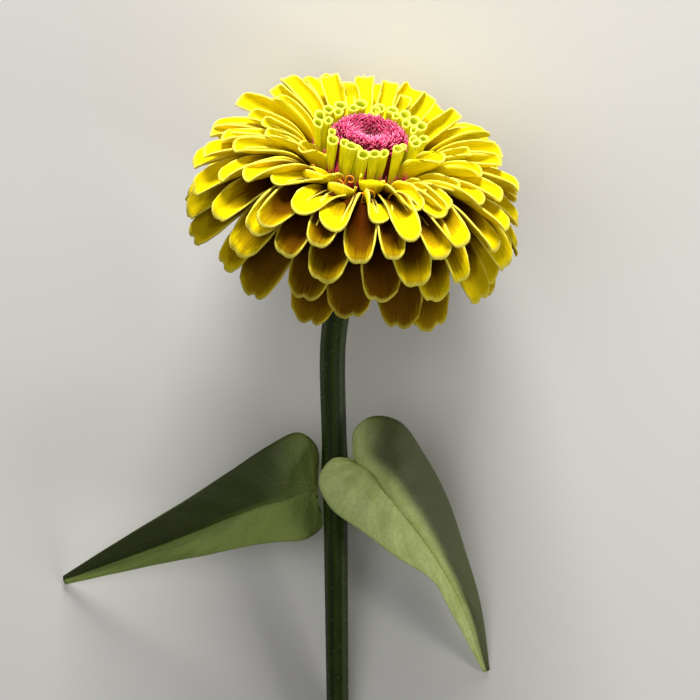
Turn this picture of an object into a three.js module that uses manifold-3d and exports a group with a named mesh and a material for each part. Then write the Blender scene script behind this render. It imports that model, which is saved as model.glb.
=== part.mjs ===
// A zinnia flower laid on a table: a domed head of ray petals round a pink disc, a green cup under it,
// a cut stem and one pair of leaves. Millimetres, +Z up, resting on the plane z = 0.
import * as THREE from "three";
import { mergeVertices } from "three/addons/utils/BufferGeometryUtils.js";
import Module from "manifold-3d";

const wasm = await Module();
wasm.setup();

// Head: the point where the stem enters it, and the axis that runs up from there through the disc.
// Azimuths round the axis are counted from the side of the head that faces up, at FACE_TILT degrees
const NECK = new THREE.Vector3(14.629, 35.089, 28.9);
const AXIS_LEAN_RIGHT = 10.35;
const AXIS_RISE = 23.1;
const FACE_TILT = 83;
const DISC_HEIGHT = 32;

// Receptacle inside the head, as radius and depth below the top of the disc
const CORE_PROFILE = [[0, 20], [10.8, 20], [12.8, 15], [11.8, 9.6], [0, 9.6]];
const CORE_SIDES = 16;

// Ray petals
const PETAL_THICKNESS = 0.6;
const PETAL_ROOT_RADIUS = 9.8;
const PETAL_ROOT_SPREAD = 1;

// Ray petal at a few tiers, 0 the lowest and 1 the innermost. Drop is the depth of the root below the
// top of the disc. Rise and fall are the pitch at the root and at the tip
const PETAL_STAGES = [
  { tier: 0, drop: 18.2, length: 28.6, width: 10.8, rise: 20, fall: -84 },
  { tier: 0.22, drop: 16.1, length: 30.9, width: 10.1, rise: 32, fall: -73 },
  { tier: 0.45, drop: 14, length: 30.2, width: 9.1, rise: 42, fall: -56 },
  { tier: 0.68, drop: 12.5, length: 26.6, width: 8, rise: 51, fall: -34 },
  { tier: 0.86, drop: 11.6, length: 20.4, width: 7.4, rise: 58, fall: -12 },
  { tier: 1, drop: 11, length: 14, width: 6.4, rise: 69, fall: 14 },
];

// Cross section at the same tiers. Claw and curl are the bend across the petal near its root and over
// its blade, in degrees, waist is the root's part of the width, and notch is the part of a full notch
const PETAL_SECTIONS = [
  { tier: 0, claw: 60, curl: 35, waist: 0.22, notch: 1 },
  { tier: 0.22, claw: 80, curl: 65, waist: 0.22, notch: 0.7 },
  { tier: 0.45, claw: 100, curl: 100, waist: 0.24, notch: 0.3 },
  { tier: 0.68, claw: 140, curl: 140, waist: 0.28, notch: 0.1 },
  { tier: 0.86, claw: 190, curl: 190, waist: 0.36, notch: 0 },
  { tier: 1, claw: 250, curl: 260, waist: 0.5, notch: 0 },
];

// Places of the ray petals: azimuths in degrees, by tier
const PETAL_TIERS = [
  { tier: 0, azimuths: [-11, 84, 150, 185, 222] },
  { tier: 0.04, azimuths: [-77, 36] },
  { tier: 0.07, azimuths: [-31, -98, 203] },
  { tier: 0.11, azimuths: [22, 102, 134] },
  { tier: 0.2, azimuths: [2, -62, 150, 185, 220] },
  { tier: 0.23, azimuths: [-42] },
  { tier: 0.27, azimuths: [-10, 49, 115] },
  { tier: 0.31, azimuths: [-68] },
  { tier: 0.35, azimuths: [12, 30] },
  { tier: 0.38, azimuths: [-36] },
  { tier: 0.42, azimuths: [-4] },
  { tier: 0.46, azimuths: [22, 41, 127] },
  { tier: 0.5, azimuths: [-67, -46, -19, 150, 220] },
  { tier: 0.54, azimuths: [7, -34, 130] },
  { tier: 0.57, azimuths: [-129, -77, 54] },
  { tier: 0.6, azimuths: [-28, -8, 13, 31, 144] },
  { tier: 0.63, azimuths: [134] },
  { tier: 0.65, azimuths: [39, 64, 154] },
  { tier: 0.68, azimuths: [-149, -71, -54] },
  { tier: 0.7, azimuths: [-156, -5, 22, 183] },
  { tier: 0.73, azimuths: [-88, -81, -17, 167] },
  { tier: 0.75, azimuths: [-47] },
  { tier: 0.78, azimuths: [-75, 10, 70] },
  { tier: 0.81, azimuths: [-64, -35, 37, 57] },
  { tier: 0.84, azimuths: [40] },
  { tier: 0.86, azimuths: [93, 117, -133] },
  { tier: 0.88, azimuths: [-4] },
  { tier: 0.9, azimuths: [-171, -152, -120, -91, 28] },
  { tier: 0.91, azimuths: [-57, -25, 54, 76] },
  { tier: 0.93, azimuths: [131, 154, 176] },
  { tier: 0.95, azimuths: [-110, -79, 37] },
  { tier: 0.98, azimuths: [91] },
  { tier: 1, azimuths: [7, 73] },
];

// Where the form of a ray petal changes on its way from the root, 0, to the tip, 1
const PETAL_FORM = {
  rootCurl: 20,
  clawAt: 0.25,
  curlFrom: 0.2,
  curlAt: 0.65,
  openFrom: 0.7,
  open: 0.08,
  widestAt: 0.62,
  taperFrom: 0.75,
  taper: 0.1,
  liftFrom: 0.72,
  lift: 1.2,
  rollAt: 0.8,
  tipRound: 0.45,
  tipSquareness: 2.4,
  tipShare: 5,
  notchDepth: 0.06,
  notchWidth: 0.16,
};
const MOST_CURL_PER_SIDE = 140;

// What the side of the head does to a ray petal: the inner ones are shorter and bow lower on the side
// that faces up, and the upper ones are longer and stand higher on the far side
const PETAL_SIDES = {
  upperFrom: 0.5,
  upperAt: 0.85,
  innerFrom: 0.72,
  frontShorter: 0.32,
  frontFall: 14,
  backLonger: 0.04,
  backFall: 12,
  backRise: 4,
  backRiseUntil: 0.8,
};

// Full range of what varies from petal to petal
const PETAL_VARIATION = { width: 0.14, lean: 0.9, roll: 16, lift: 0.8, split: 0.8, yaw: 6 };

// Mesh of a ray petal, with fewer columns low on the far side
const PETAL_ROWS = 3;
const PETAL_COLUMNS = 3;
const FAR_COLUMNS = 2;
const FAR_AZIMUTH = 110;
const FAR_BELOW = 0.8;

// Quill florets: rolled tubes in two rings round the disc
const QUILL_RINGS = [
  { count: 13, foot: 8.75, top: 9, depth: -0.9 },
  { count: 17, foot: 9.9, top: 10.6, depth: -1.3 },
];
const QUILL_FOOT_DEPTH = 9;
const QUILL_FOOT_RADIUS = 0.94;
const QUILL_TOP_RADIUS = 1.21;
const QUILL_MOUTH_RADIUS = 0.6;
const QUILL_FLOOR_RADIUS = 0.3;
const QUILL_MOUTH_DEPTH = 1.8;
const QUILL_SIDES = 6;
const QUILL_UNEVEN_TOP = 1.2;
const QUILL_UNEVEN_AZIMUTH = 6;
const QUILL_BASE = [[7.65, 9.3], [10.7, 9.3], [10.7, 8.1], [7.65, 8.1], [7.65, 9.3]];
const QUILL_ROOM = [[0, 9.3], [11.1, 9.3], [12.1, -1], [12.4, -5], [0, -5]];

// Disc: a low dome with a sunk centre, covered with small pointed florets that lean inwards
const DISC_PROFILE = [
  [0, 9.3], [7.2, 9.3], [7.2, 2.8], [6.7, 1.3],
  [5.2, 0.5], [3.6, 0.5], [1.8, 1.3], [0, 2.1],
];
const DISC_SIDES = 20;
const DISC_FLORETS = 66;
const DISC_FLORET_HEIGHT = 1.7;
const DISC_FLORET_RADIUS = 0.6;
const DISC_FLORET_SIDES = 3;
const DISC_FLORET_SINK = 0.5;
const DISC_REACH = 6.7;
const DISC_LEAN_CENTRE = -0.5;
const DISC_LEAN_RIM = 0.45;
const GOLDEN_ANGLE = 137.508;

// Involucre: the green cup, as radius and height above the neck, with rows of overlapping bracts
const CUP_PROFILE = [[0, 0.4], [3.4, 0.4], [5.2, 1.8], [7.8, 4.6], [9.6, 8], [10.5, 11.5], [0, 11.5]];
const CUP_SIDES = 14;
const BRACT_ROWS = [
  { count: 6, foot: 1.6, tip: 7.6, width: 6.6, stand: 0.5 },
  { count: 7, foot: 4.6, tip: 11.6, width: 8.6, stand: 0.4 },
];
const BRACT_THICKNESS = 1.2;
const BRACT_SINK = 0.5;
const BRACT_FOOT_WIDTH = 0.7;
const BRACT_WIDEST_AT = 0.4;
const BRACT_TAPER_FROM = 0.5;
const BRACT_TAPER = 0.35;
const BRACT_TIP_ROUND = 0.3;
const BRACT_ROW_SHIFT = 0.37;

// Stem: from the neck along the head's axis, then straight down to the cut end
const STEM_RADIUS = 2.95;
const STEM_NECK_RADIUS = 3.3;
const STEM_NECK_REACH = 5;
const STEM_NECK_LENGTH = 9;
const STEM_END_RADIUS = 2.55;
const STEM_NODE_SWELL = 0.35;
const STEM_NODE_REACH = 5;
const STEM_RINGS = 20;
const STEM_SIDES = 12;
const STEM_BEND = new THREE.Vector3(-2.9, -19, -7.3).add(NECK);
const NODE = new THREE.Vector3(-2.5, -48.5, -13.1).add(NECK);
const STEM_END = new THREE.Vector3(-1.9, -110, -26.4).add(NECK);

// Leaves: a rib and two edges each, as points measured from the middle of the stem at the leaf node
const LEAF_THICKNESS = 0.7;
const LEAF_ROWS = 14;
const LEAF_COLUMNS = 6;
const LEFT_LEAF = {
  rib: [
    [-4, -4, -0.5], [-6.5, -4, 1], [-10.5, -5.5, 2], [-16.5, -7, 2.5], [-24, -10, 1.5],
    [-32.5, -14, -1.5], [-42, -18.5, -6], [-52, -23, -11], [-62.5, -27.5, -15.6],
  ],
  innerEdge: [
    [-4, -1.5, -1], [-4, 5.5, -0.5], [-8, 9.5, 2.5], [-14.5, 7, 5], [-23, 1.5, 5.5],
    [-33, -5.5, 3], [-42.5, -12, -2.5], [-53, -19.5, -9], [-62.5, -26.5, -15.6],
  ],
  outerEdge: [
    [-4, -6.5, -1], [-3, -13, -5.5], [-6.5, -15.5, -3.5], [-13.5, -15.5, 0.5], [-21, -16.5, 2],
    [-29, -18.5, 0.5], [-39.5, -21.5, -4.5], [-51, -25, -10], [-62, -28.5, -15.6],
  ],
  innerBulge: 0.8,
  outerBulge: 0.8,
};
const RIGHT_LEAF = {
  rib: [
    [4.5, 2.5, 2.5], [6.5, 2, 4.5], [8.5, 0.5, 6], [11.5, -3.5, 7.5], [14.5, -7.5, 7],
    [18.5, -13, 4.5], [23, -20.5, -0.5], [28.5, -31.5, -7.5], [34.5, -49, -15.6],
  ],
  innerEdge: [
    [4, 5.5, 3], [4.5, 10.5, 4.5], [8, 13.5, 6], [14, 12.5, 5.5], [20, 4, 1.5],
    [25, -6, -2.5], [29, -18, -6.5], [33, -32, -11], [35.5, -48.5, -15.6],
  ],
  outerEdge: [
    [3.5, 4, 4], [-0.5, 4, 5], [-3.5, -0.5, 5.5], [-1, -6.5, 7], [6.5, -12, 8.5],
    [14, -18, 6.5], [21.5, -24, 1], [26, -32.5, -6], [34, -49, -15.6],
  ],
  innerBulge: 2.2,
  outerBulge: 0.8,
};

// The table: a mid surface that would sink into it is bent up to the press level, softly over this height
const PRESS_SOFTNESS = 0.2;
const PRESS_LEVEL = 0.3;

const FINISHES = {
  petal: { color: 0xd8c914, roughness: 0.6 },
  quill: { color: 0xb9bb10, roughness: 0.55 },
  disc: { color: 0xe8447f, roughness: 0.8 },
  bract: { color: 0x4d5f22, roughness: 0.7 },
  stem: { color: 0x3c4d12, roughness: 0.6 },
  leaf: { color: 0x6f8436, roughness: 0.65 },
};

const MERGE_DISTANCE = 1e-4;
const UP = new THREE.Vector3(0, 0, 1);
const { degToRad: radians, lerp: mix, smoothstep: smooth } = THREE.MathUtils;

// Fixed pseudo-random number from 0 to 1 for one thing and one of its properties
function draw(seed, property) {
  const value = Math.sin(seed * 12.9898 + property * 78.233) * 43758.5453;
  return value - Math.floor(value);
}

function spread(seed, property, range) {
  return (draw(seed, property) - 0.5) * range;
}

// Head frame: x to the side that faces up, y to the right, z along the axis, from the neck
const axis = new THREE.Vector3(
  Math.sin(radians(AXIS_LEAN_RIGHT)) * Math.cos(radians(AXIS_RISE)),
  Math.cos(radians(AXIS_LEAN_RIGHT)) * Math.cos(radians(AXIS_RISE)),
  Math.sin(radians(AXIS_RISE)),
);
const upward = new THREE.Vector3(0, Math.cos(radians(FACE_TILT)), Math.sin(radians(FACE_TILT)));
const face = upward.clone().addScaledVector(axis, -upward.dot(axis)).normalize();
const right = new THREE.Vector3().crossVectors(axis, face);
const HEAD = new THREE.Matrix4().makeBasis(face, right, axis).setPosition(NECK);

// A point that would be under the table is bent up onto it
function pressed(point) {
  const over = (point.z - PRESS_LEVEL) / PRESS_SOFTNESS;
  const farAbove = 20;
  if (over < farAbove) point.z = PRESS_LEVEL + PRESS_SOFTNESS * Math.log1p(Math.exp(over));
  return point;
}

// Indexed triangles as a solid
function solidOf(positions, triangles) {
  return new wasm.Manifold(
    new wasm.Mesh({
      numProp: 3,
      vertProperties: new Float32Array(positions),
      triVerts: new Uint32Array(triangles),
    }),
  );
}

// A closed three.js geometry as a solid, with its shared vertices merged
function solidFrom(geometry) {
  geometry.deleteAttribute("normal");
  geometry.deleteAttribute("uv");
  const merged = mergeVertices(geometry, MERGE_DISTANCE);
  return solidOf(merged.attributes.position.array, merged.index.array);
}

function fuse(solids) {
  return solids.reduce((whole, piece) => whole.add(piece));
}

// A solid of revolution about +Z, from [radius, height]
function lathe(profile, sides) {
  const points = profile.map(([radius, height]) => new THREE.Vector2(radius, height));
  return new THREE.LatheGeometry(points, sides).rotateX(Math.PI / 2);
}

// A solid of revolution about the head's axis, from [radius, depth below the disc's top]
function headLathe(profile, sides) {
  const raised = profile.map(([radius, depth]) => [radius, DISC_HEIGHT - depth]);
  return solidFrom(lathe(raised, sides).applyMatrix4(HEAD));
}

// A shape that stands on its own +Z, set on a foot in the head frame and turned to a direction there
function planted(geometry, foot, direction) {
  const turn = new THREE.Quaternion().setFromUnitVectors(UP, direction.clone().normalize());
  const place = new THREE.Matrix4().makeRotationFromQuaternion(turn).setPosition(foot);
  return solidFrom(geometry.applyMatrix4(place).applyMatrix4(HEAD));
}

// A thin closed blade: both faces stand half the thickness off the mid surface and are split alike
function blade(midPoint, rows, columns, thickness) {
  const positions = [];
  const step = 1e-3;
  for (const sign of [1, -1]) {
    for (let i = 0; i <= rows; i++) {
      for (let j = 0; j <= columns; j++) {
        const along = i / rows;
        const across = (2 * j) / columns - 1;
        const before = Math.max(along - step, 0);
        const left = Math.max(across - step, -1);
        const dAlong = midPoint(before + step, across).sub(midPoint(before, across));
        const dAcross = midPoint(along, left + step).sub(midPoint(along, left));
        const normal = dAcross.cross(dAlong).normalize();
        const point = midPoint(along, across).addScaledVector(normal, (-sign * thickness) / 2);
        positions.push(point.x, point.y, point.z);
      }
    }
  }
  const stride = columns + 1;
  const sheet = stride * (rows + 1);
  const triangles = [];
  for (let i = 0; i < rows; i++) {
    for (let j = 0; j < columns; j++) {
      const a = i * stride + j;
      const [b, c, d] = [a + 1, a + stride, a + stride + 1];
      triangles.push(a, c, b, b, c, d);
      triangles.push(a + sheet, b + sheet, c + sheet, b + sheet, d + sheet, c + sheet);
    }
  }
  const rim = [];
  for (let j = 0; j < columns; j++) rim.push(j);
  for (let i = 0; i < rows; i++) rim.push(i * stride + columns);
  for (let j = columns; j > 0; j--) rim.push(rows * stride + j);
  for (let i = rows; i > 0; i--) rim.push(i * stride);
  rim.forEach((a, k) => {
    const b = rim[(k + 1) % rim.length];
    triangles.push(a, b, a + sheet, b, b + sheet, a + sheet);
  });
  return solidOf(positions, triangles);
}

// Values of a table of stages at a tier, each mixed between the stages on both sides of it
function atTier(stages, tier) {
  const next = Math.max(1, stages.findIndex((stage) => tier <= stage.tier));
  const [low, high] = [stages[next - 1], stages[next]];
  const k = (tier - low.tier) / (high.tier - low.tier);
  return Object.fromEntries(Object.keys(low).map((key) => [key, mix(low[key], high[key], k)]));
}

// Sizes of a ray petal at its tier, with what its side of the head and chance change
function petalAt(tier, degrees) {
  const azimuth = radians(degrees);
  const petal = { ...atTier(PETAL_STAGES, tier), ...atTier(PETAL_SECTIONS, tier), azimuth };
  const side = PETAL_SIDES;
  const front = Math.max(0, Math.cos(azimuth)) ** 2;
  const back = Math.max(0, -Math.cos(azimuth));
  const upper = smooth(tier, side.upperFrom, side.upperAt);
  const inner = smooth(tier, side.innerFrom, 1);
  petal.length *= (1 - side.frontShorter * front * inner) * (1 + side.backLonger * back * upper);
  petal.fall += side.backFall * back * upper - side.frontFall * front * inner;
  petal.rise += side.backRise * back * upper * (1 - smooth(tier, side.backRiseUntil, 1));

  const seed = degrees + 720 * tier;
  const names = Object.keys(PETAL_VARIATION);
  const vary = (name) => spread(seed, names.indexOf(name), PETAL_VARIATION[name]);
  petal.width *= 1 + vary("width");
  petal.lean = vary("lean");
  petal.roll = radians(vary("roll"));
  petal.lift = PETAL_FORM.lift + vary("lift");
  petal.split = vary("split");
  petal.yaw = radians(vary("yaw"));
  return petal;
}

// How far along its mid line a point of a ray petal is, with the round, notched tip taken off
function petalReach(petal, along, across) {
  const { tipRound, tipSquareness, tipShare, notchDepth, notchWidth } = PETAL_FORM;
  const corner = 1 - (1 - Math.abs(across) ** tipSquareness) ** (1 / tipSquareness);
  const notch = Math.exp(-(((across - petal.split) / notchWidth) ** 2));
  const cutBack = ((tipRound * petal.width) / petal.length) * corner + petal.notch * notchDepth * notch;
  return along - cutBack * along ** tipShare;
}

// Mid surface of a ray petal: along runs 0 to 1 from the root, across -1 to 1
function petalPoint(petal, along, across) {
  const form = PETAL_FORM;
  const u = petalReach(petal, along, across);

  // Mid line: an arc in the plane through the axis
  const start = radians(petal.rise);
  const turn = radians(petal.fall) - start;
  const pitch = start + turn * u;
  const outward = (petal.length * (Math.sin(pitch) - Math.sin(start))) / turn;
  const upwards = (petal.length * (Math.cos(start) - Math.cos(pitch))) / turn;

  // Cross section: an arc on each side of the mid line, edges up
  const widening = mix(petal.waist, 1, smooth(u, 0, form.widestAt));
  const half = 0.5 * petal.width * widening * (1 - form.taper * smooth(u, form.taperFrom, 1));
  const claw = mix(form.rootCurl, petal.claw, smooth(u, 0, form.clawAt));
  const blend = mix(claw, petal.curl, smooth(u, form.curlFrom, form.curlAt));
  const curl = blend * (1 - form.open * smooth(u, form.openFrom, 1));
  const leaning = 1 + Math.sign(across) * petal.lean;
  const bend = radians(Math.min(0.5 * curl * leaning, MOST_CURL_PER_SIDE));
  const arc = half / bend;
  const turned = bend * Math.abs(across);
  const sideways = Math.sign(across) * arc * Math.sin(turned);
  const raised = arc * (1 - Math.cos(turned)) + petal.lift * smooth(u, form.liftFrom, 1) ** 2;
  const roll = petal.roll * smooth(u, 0, form.rollAt);
  const x = sideways * Math.cos(roll) - raised * Math.sin(roll) + outward * Math.tan(petal.yaw);
  const z = sideways * Math.sin(roll) + raised * Math.cos(roll);

  const root = PETAL_ROOT_RADIUS + PETAL_ROOT_SPREAD * petal.tier;
  const radius = root + outward - Math.sin(pitch) * z;
  const height = DISC_HEIGHT - petal.drop + upwards + Math.cos(pitch) * z;
  const [c, s] = [Math.cos(petal.azimuth), Math.sin(petal.azimuth)];
  const local = new THREE.Vector3(radius * c - x * s, radius * s + x * c, height);
  return pressed(local.applyMatrix4(HEAD));
}

function rayFlorets() {
  const solids = [headLathe(CORE_PROFILE, CORE_SIDES)];
  for (const { tier, azimuths } of PETAL_TIERS) {
    for (const azimuth of azimuths) {
      const petal = petalAt(tier, azimuth);
      const far = Math.abs(azimuth) > FAR_AZIMUTH && tier < FAR_BELOW;
      const columns = far ? FAR_COLUMNS : PETAL_COLUMNS;
      solids.push(blade((u, v) => petalPoint(petal, u, v), PETAL_ROWS, columns, PETAL_THICKNESS));
    }
  }
  return fuse(solids).subtract(headLathe(QUILL_ROOM, CORE_SIDES));
}

// One quill: a tube that flares to a hollow mouth, on its own +Z from its foot
function quill(length) {
  const floor = length - QUILL_MOUTH_DEPTH;
  const profile = [
    [0, 0],
    [QUILL_FOOT_RADIUS, 0],
    [QUILL_TOP_RADIUS, length],
    [QUILL_MOUTH_RADIUS, length],
    [QUILL_FLOOR_RADIUS, floor],
    [0, floor],
  ];
  return lathe(profile, QUILL_SIDES);
}

function quillFlorets() {
  const solids = [headLathe(QUILL_BASE, CORE_SIDES)];
  for (const [row, ring] of QUILL_RINGS.entries()) {
    for (let i = 0; i < ring.count; i++) {
      const seed = 100 * (row + 1) + i;
      const even = (360 * (i + 0.5 * row)) / ring.count;
      const azimuth = radians(even + spread(seed, 1, QUILL_UNEVEN_AZIMUTH));
      const around = new THREE.Vector3(Math.cos(azimuth), Math.sin(azimuth), 0);
      const foot = around.clone().multiplyScalar(ring.foot).setZ(DISC_HEIGHT - QUILL_FOOT_DEPTH);
      const depth = ring.depth + QUILL_UNEVEN_TOP * draw(seed, 2);
      const top = around.clone().multiplyScalar(ring.top).setZ(DISC_HEIGHT - depth);
      const direction = top.sub(foot);
      solids.push(planted(quill(direction.length()), foot, direction));
    }
  }
  return fuse(solids);
}

// Depth of the disc's surface below its top, at a radius
function discDepth(radius) {
  const outer = DISC_PROFILE.findLastIndex(([r], i) => i > 1 && r >= radius);
  const [r0, d0] = DISC_PROFILE[outer];
  const [r1, d1] = DISC_PROFILE[outer + 1];
  return mix(d0, d1, (r0 - radius) / (r0 - r1));
}

function discFlorets() {
  const solids = [headLathe(DISC_PROFILE, DISC_SIDES)];
  for (let i = 0; i < DISC_FLORETS; i++) {
    const radius = DISC_REACH * Math.sqrt((i + 0.5) / DISC_FLORETS);
    const azimuth = radians(i * GOLDEN_ANGLE);
    const around = new THREE.Vector3(Math.cos(azimuth), Math.sin(azimuth), 0);
    const lean = mix(DISC_LEAN_CENTRE, DISC_LEAN_RIM, (radius / DISC_REACH) ** 3);
    const direction = around.clone().multiplyScalar(lean).add(UP);
    const depth = discDepth(radius) + DISC_FLORET_SINK;
    const foot = around.clone().multiplyScalar(radius).setZ(DISC_HEIGHT - depth);
    const floret = new THREE.ConeGeometry(DISC_FLORET_RADIUS, DISC_FLORET_HEIGHT, DISC_FLORET_SIDES)
      .translate(0, DISC_FLORET_HEIGHT / 2, 0)
      .rotateX(Math.PI / 2);
    solids.push(planted(floret, foot, direction));
  }
  return fuse(solids);
}

// Radius of the cup's outside at a height above the neck
function cupRadius(height) {
  const outside = CUP_PROFILE.slice(1, -1);
  const next = outside.findIndex(([, h]) => height <= h);
  if (next < 0) return outside.at(-1)[0];
  const [low, high] = [outside[Math.max(next - 1, 0)], outside[Math.max(next, 1)]];
  return mix(low[0], high[0], (height - low[1]) / (high[1] - low[1]));
}

// Mid surface of a bract: a scale with a round tip that lies on the cup and stands off at its end
function bractPoint(row, azimuth, along, across) {
  const corner = 1 - Math.sqrt(1 - across ** 2);
  const u = along * (1 - BRACT_TIP_ROUND * corner * along ** 3);
  const height = mix(row.foot, row.tip, u);
  const radius = cupRadius(height) + row.stand * u - BRACT_SINK;
  const widening = mix(BRACT_FOOT_WIDTH, 1, smooth(u, 0, BRACT_WIDEST_AT));
  const half = 0.5 * row.width * widening * (1 - BRACT_TAPER * smooth(u, BRACT_TAPER_FROM, 1));
  const angle = azimuth + (across * half) / radius;
  return new THREE.Vector3(radius * Math.cos(angle), radius * Math.sin(angle), height).applyMatrix4(HEAD);
}

function involucre() {
  const solids = [solidFrom(lathe(CUP_PROFILE, CUP_SIDES).applyMatrix4(HEAD))];
  for (const [index, row] of BRACT_ROWS.entries()) {
    for (let i = 0; i < row.count; i++) {
      const azimuth = radians((360 * (i + BRACT_ROW_SHIFT * index)) / row.count);
      solids.push(blade((u, v) => bractPoint(row, azimuth, u, v), 2, 2, BRACT_THICKNESS));
    }
  }
  return fuse(solids);
}

// Closed round tube along a curve, its radius given by the distance from the start
function tube(curve, radiusAt, rings, sides) {
  const frames = curve.computeFrenetFrames(rings);
  const length = curve.getLength();
  const positions = [];
  const triangles = [];
  for (let i = 0; i <= rings; i++) {
    const centre = curve.getPointAt(i / rings);
    const radius = radiusAt((length * i) / rings);
    for (let j = 0; j < sides; j++) {
      const angle = (2 * Math.PI * j) / sides;
      const point = centre
        .clone()
        .addScaledVector(frames.normals[i], radius * Math.cos(angle))
        .addScaledVector(frames.binormals[i], radius * Math.sin(angle));
      positions.push(point.x, point.y, point.z);
      const here = i * sides;
      const beyond = here + sides;
      const next = (j + 1) % sides;
      if (i === rings) continue;
      triangles.push(here + j, here + next, beyond + j);
      triangles.push(here + next, beyond + next, beyond + j);
    }
  }
  const last = rings * sides;
  for (let j = 1; j < sides - 1; j++) {
    triangles.push(0, j + 1, j);
    triangles.push(last, last + j, last + j + 1);
  }
  return solidOf(positions, triangles);
}

function stem() {
  const neckEnd = NECK.clone().addScaledVector(axis, -STEM_NECK_LENGTH);
  const line = new THREE.CatmullRomCurve3([NECK, neckEnd, STEM_BEND, NODE, STEM_END]);
  const length = line.getLength();
  const nodeAt = length - NODE.distanceTo(STEM_END);
  const radiusAt = (distance) => {
    const taper = mix(STEM_RADIUS, STEM_END_RADIUS, distance / length);
    const flare = (STEM_NECK_RADIUS - STEM_RADIUS) * (1 - smooth(distance, 0, STEM_NECK_REACH));
    const swell = STEM_NODE_SWELL * Math.exp(-(((distance - nodeAt) / STEM_NODE_REACH) ** 2));
    return taper + flare + swell;
  };
  return tube(line, radiusAt, STEM_RINGS, STEM_SIDES);
}

// A leaf lofted from its rib out to its two edges, arched between them
function leaf({ rib, innerEdge, outerEdge, innerBulge, outerBulge }) {
  const curveOf = (points) =>
    new THREE.CatmullRomCurve3(points.map((point) => new THREE.Vector3(...point).add(NODE)));
  const [ribCurve, inner, outer] = [rib, innerEdge, outerEdge].map(curveOf);
  const midPoint = (along, across) => {
    const [edge, bulge] = across > 0 ? [outer, outerBulge] : [inner, innerBulge];
    const out = Math.abs(across);
    const point = ribCurve.getPoint(along).lerp(edge.getPoint(along), out);
    const arch = 4 * out * (1 - out) * Math.sin(Math.PI * along);
    point.z += bulge * arch;
    return pressed(point);
  };
  return blade(midPoint, LEAF_ROWS, LEAF_COLUMNS, LEAF_THICKNESS);
}

// A solid as a named mesh with its own material
function meshOf(name, solid, { color, roughness }) {
  const { vertProperties, triVerts } = solid.getMesh();
  const geometry = new THREE.BufferGeometry();
  geometry.setAttribute("position", new THREE.BufferAttribute(new Float32Array(vertProperties), 3));
  geometry.setIndex(new THREE.BufferAttribute(new Uint32Array(triVerts), 1));
  geometry.computeVertexNormals();
  const mesh = new THREE.Mesh(geometry, new THREE.MeshStandardMaterial({ color, roughness, metalness: 0 }));
  mesh.name = name;
  return mesh;
}

const zinnia = new THREE.Group();
zinnia.name = "zinnia";
zinnia.add(meshOf("ray_florets", rayFlorets(), FINISHES.petal));
zinnia.add(meshOf("quill_florets", quillFlorets(), FINISHES.quill));
zinnia.add(meshOf("disc_florets", discFlorets(), FINISHES.disc));
zinnia.add(meshOf("involucre", involucre(), FINISHES.bract));
zinnia.add(meshOf("stem", stem(), FINISHES.stem));
zinnia.add(meshOf("leaf_left", leaf(LEFT_LEAF), FINISHES.leaf));
zinnia.add(meshOf("leaf_right", leaf(RIGHT_LEAF), FINISHES.leaf));

export default zinnia;
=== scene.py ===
"""A cut lime zinnia that lies on a pale table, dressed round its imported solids."""

import logging
import math
from collections.abc import Sequence
from dataclasses import dataclass, field, fields, replace
from enum import Enum, IntEnum

import bpy
import numpy as np
from mathutils import Matrix, Vector


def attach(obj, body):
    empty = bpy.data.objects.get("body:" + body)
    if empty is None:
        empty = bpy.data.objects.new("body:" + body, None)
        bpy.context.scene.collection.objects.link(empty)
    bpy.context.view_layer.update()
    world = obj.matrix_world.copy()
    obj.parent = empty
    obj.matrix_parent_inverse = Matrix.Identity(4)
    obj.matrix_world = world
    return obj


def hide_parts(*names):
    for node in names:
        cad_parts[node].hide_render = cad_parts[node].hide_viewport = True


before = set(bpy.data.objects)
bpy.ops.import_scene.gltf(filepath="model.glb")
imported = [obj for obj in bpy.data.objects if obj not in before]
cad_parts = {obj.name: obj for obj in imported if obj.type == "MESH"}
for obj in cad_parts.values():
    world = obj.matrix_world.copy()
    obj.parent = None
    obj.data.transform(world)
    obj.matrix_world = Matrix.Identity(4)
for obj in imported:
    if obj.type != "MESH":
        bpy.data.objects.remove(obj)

Colour = tuple[float, float, float, float]
Points = tuple[tuple[float, float, float], ...]
Curve = tuple[tuple[float, ...], tuple[float, ...]]

MM = 0.001
GOLDEN_ANGLE = 137.508
TIER_SEED = 720
TURN = 2 * math.pi
log = logging.getLogger("zinnia")


class PetalTrait(IntEnum):
    """What a petal's random numbers are for."""

    WIDTH = 0
    LEAN = 1
    ROLL = 2
    LIFT = 3
    SPLIT = 4
    YAW = 5
    RIGHT_WAVES = 11
    LEFT_WAVES = 12
    RIGHT_PHASE = 13
    LEFT_PHASE = 14
    CRUMPLE = 15
    SHADE = 20


class QuillTrait(IntEnum):
    """What a quill's random numbers are for."""

    CLOSING = 3
    SEAM = 4
    BOW = 5
    SWAY = 6
    SHADE = 7
    GIRTH = 8
    CUT = 9


class StrandTrait(IntEnum):
    """What the random numbers of a strand of the disc are for."""

    TWIST = 31
    LENGTH = 32
    BOW = 33
    GIRTH = 34
    SHADE = 35


class SliverTrait(IntEnum):
    """What the random numbers of a sliver of chaff are for."""

    TWIST = 41
    FOOT = 42
    LEAN = 43
    TOP = 44
    SHADE = 45
    GIRTH = 46


class StyleTrait(IntEnum):
    """What a style's random numbers are for."""

    RADIUS = 51
    DEPTH = 52
    TURN = 53
    FACE = 54


class BractTrait(IntEnum):
    """What a bract's random number is for."""

    SHADE = 61


class HairTrait(IntEnum):
    """What a hair's random numbers are for."""

    PLACE = 71
    SIDE = 72
    LEAN = 73
    LENGTH = 74


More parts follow.
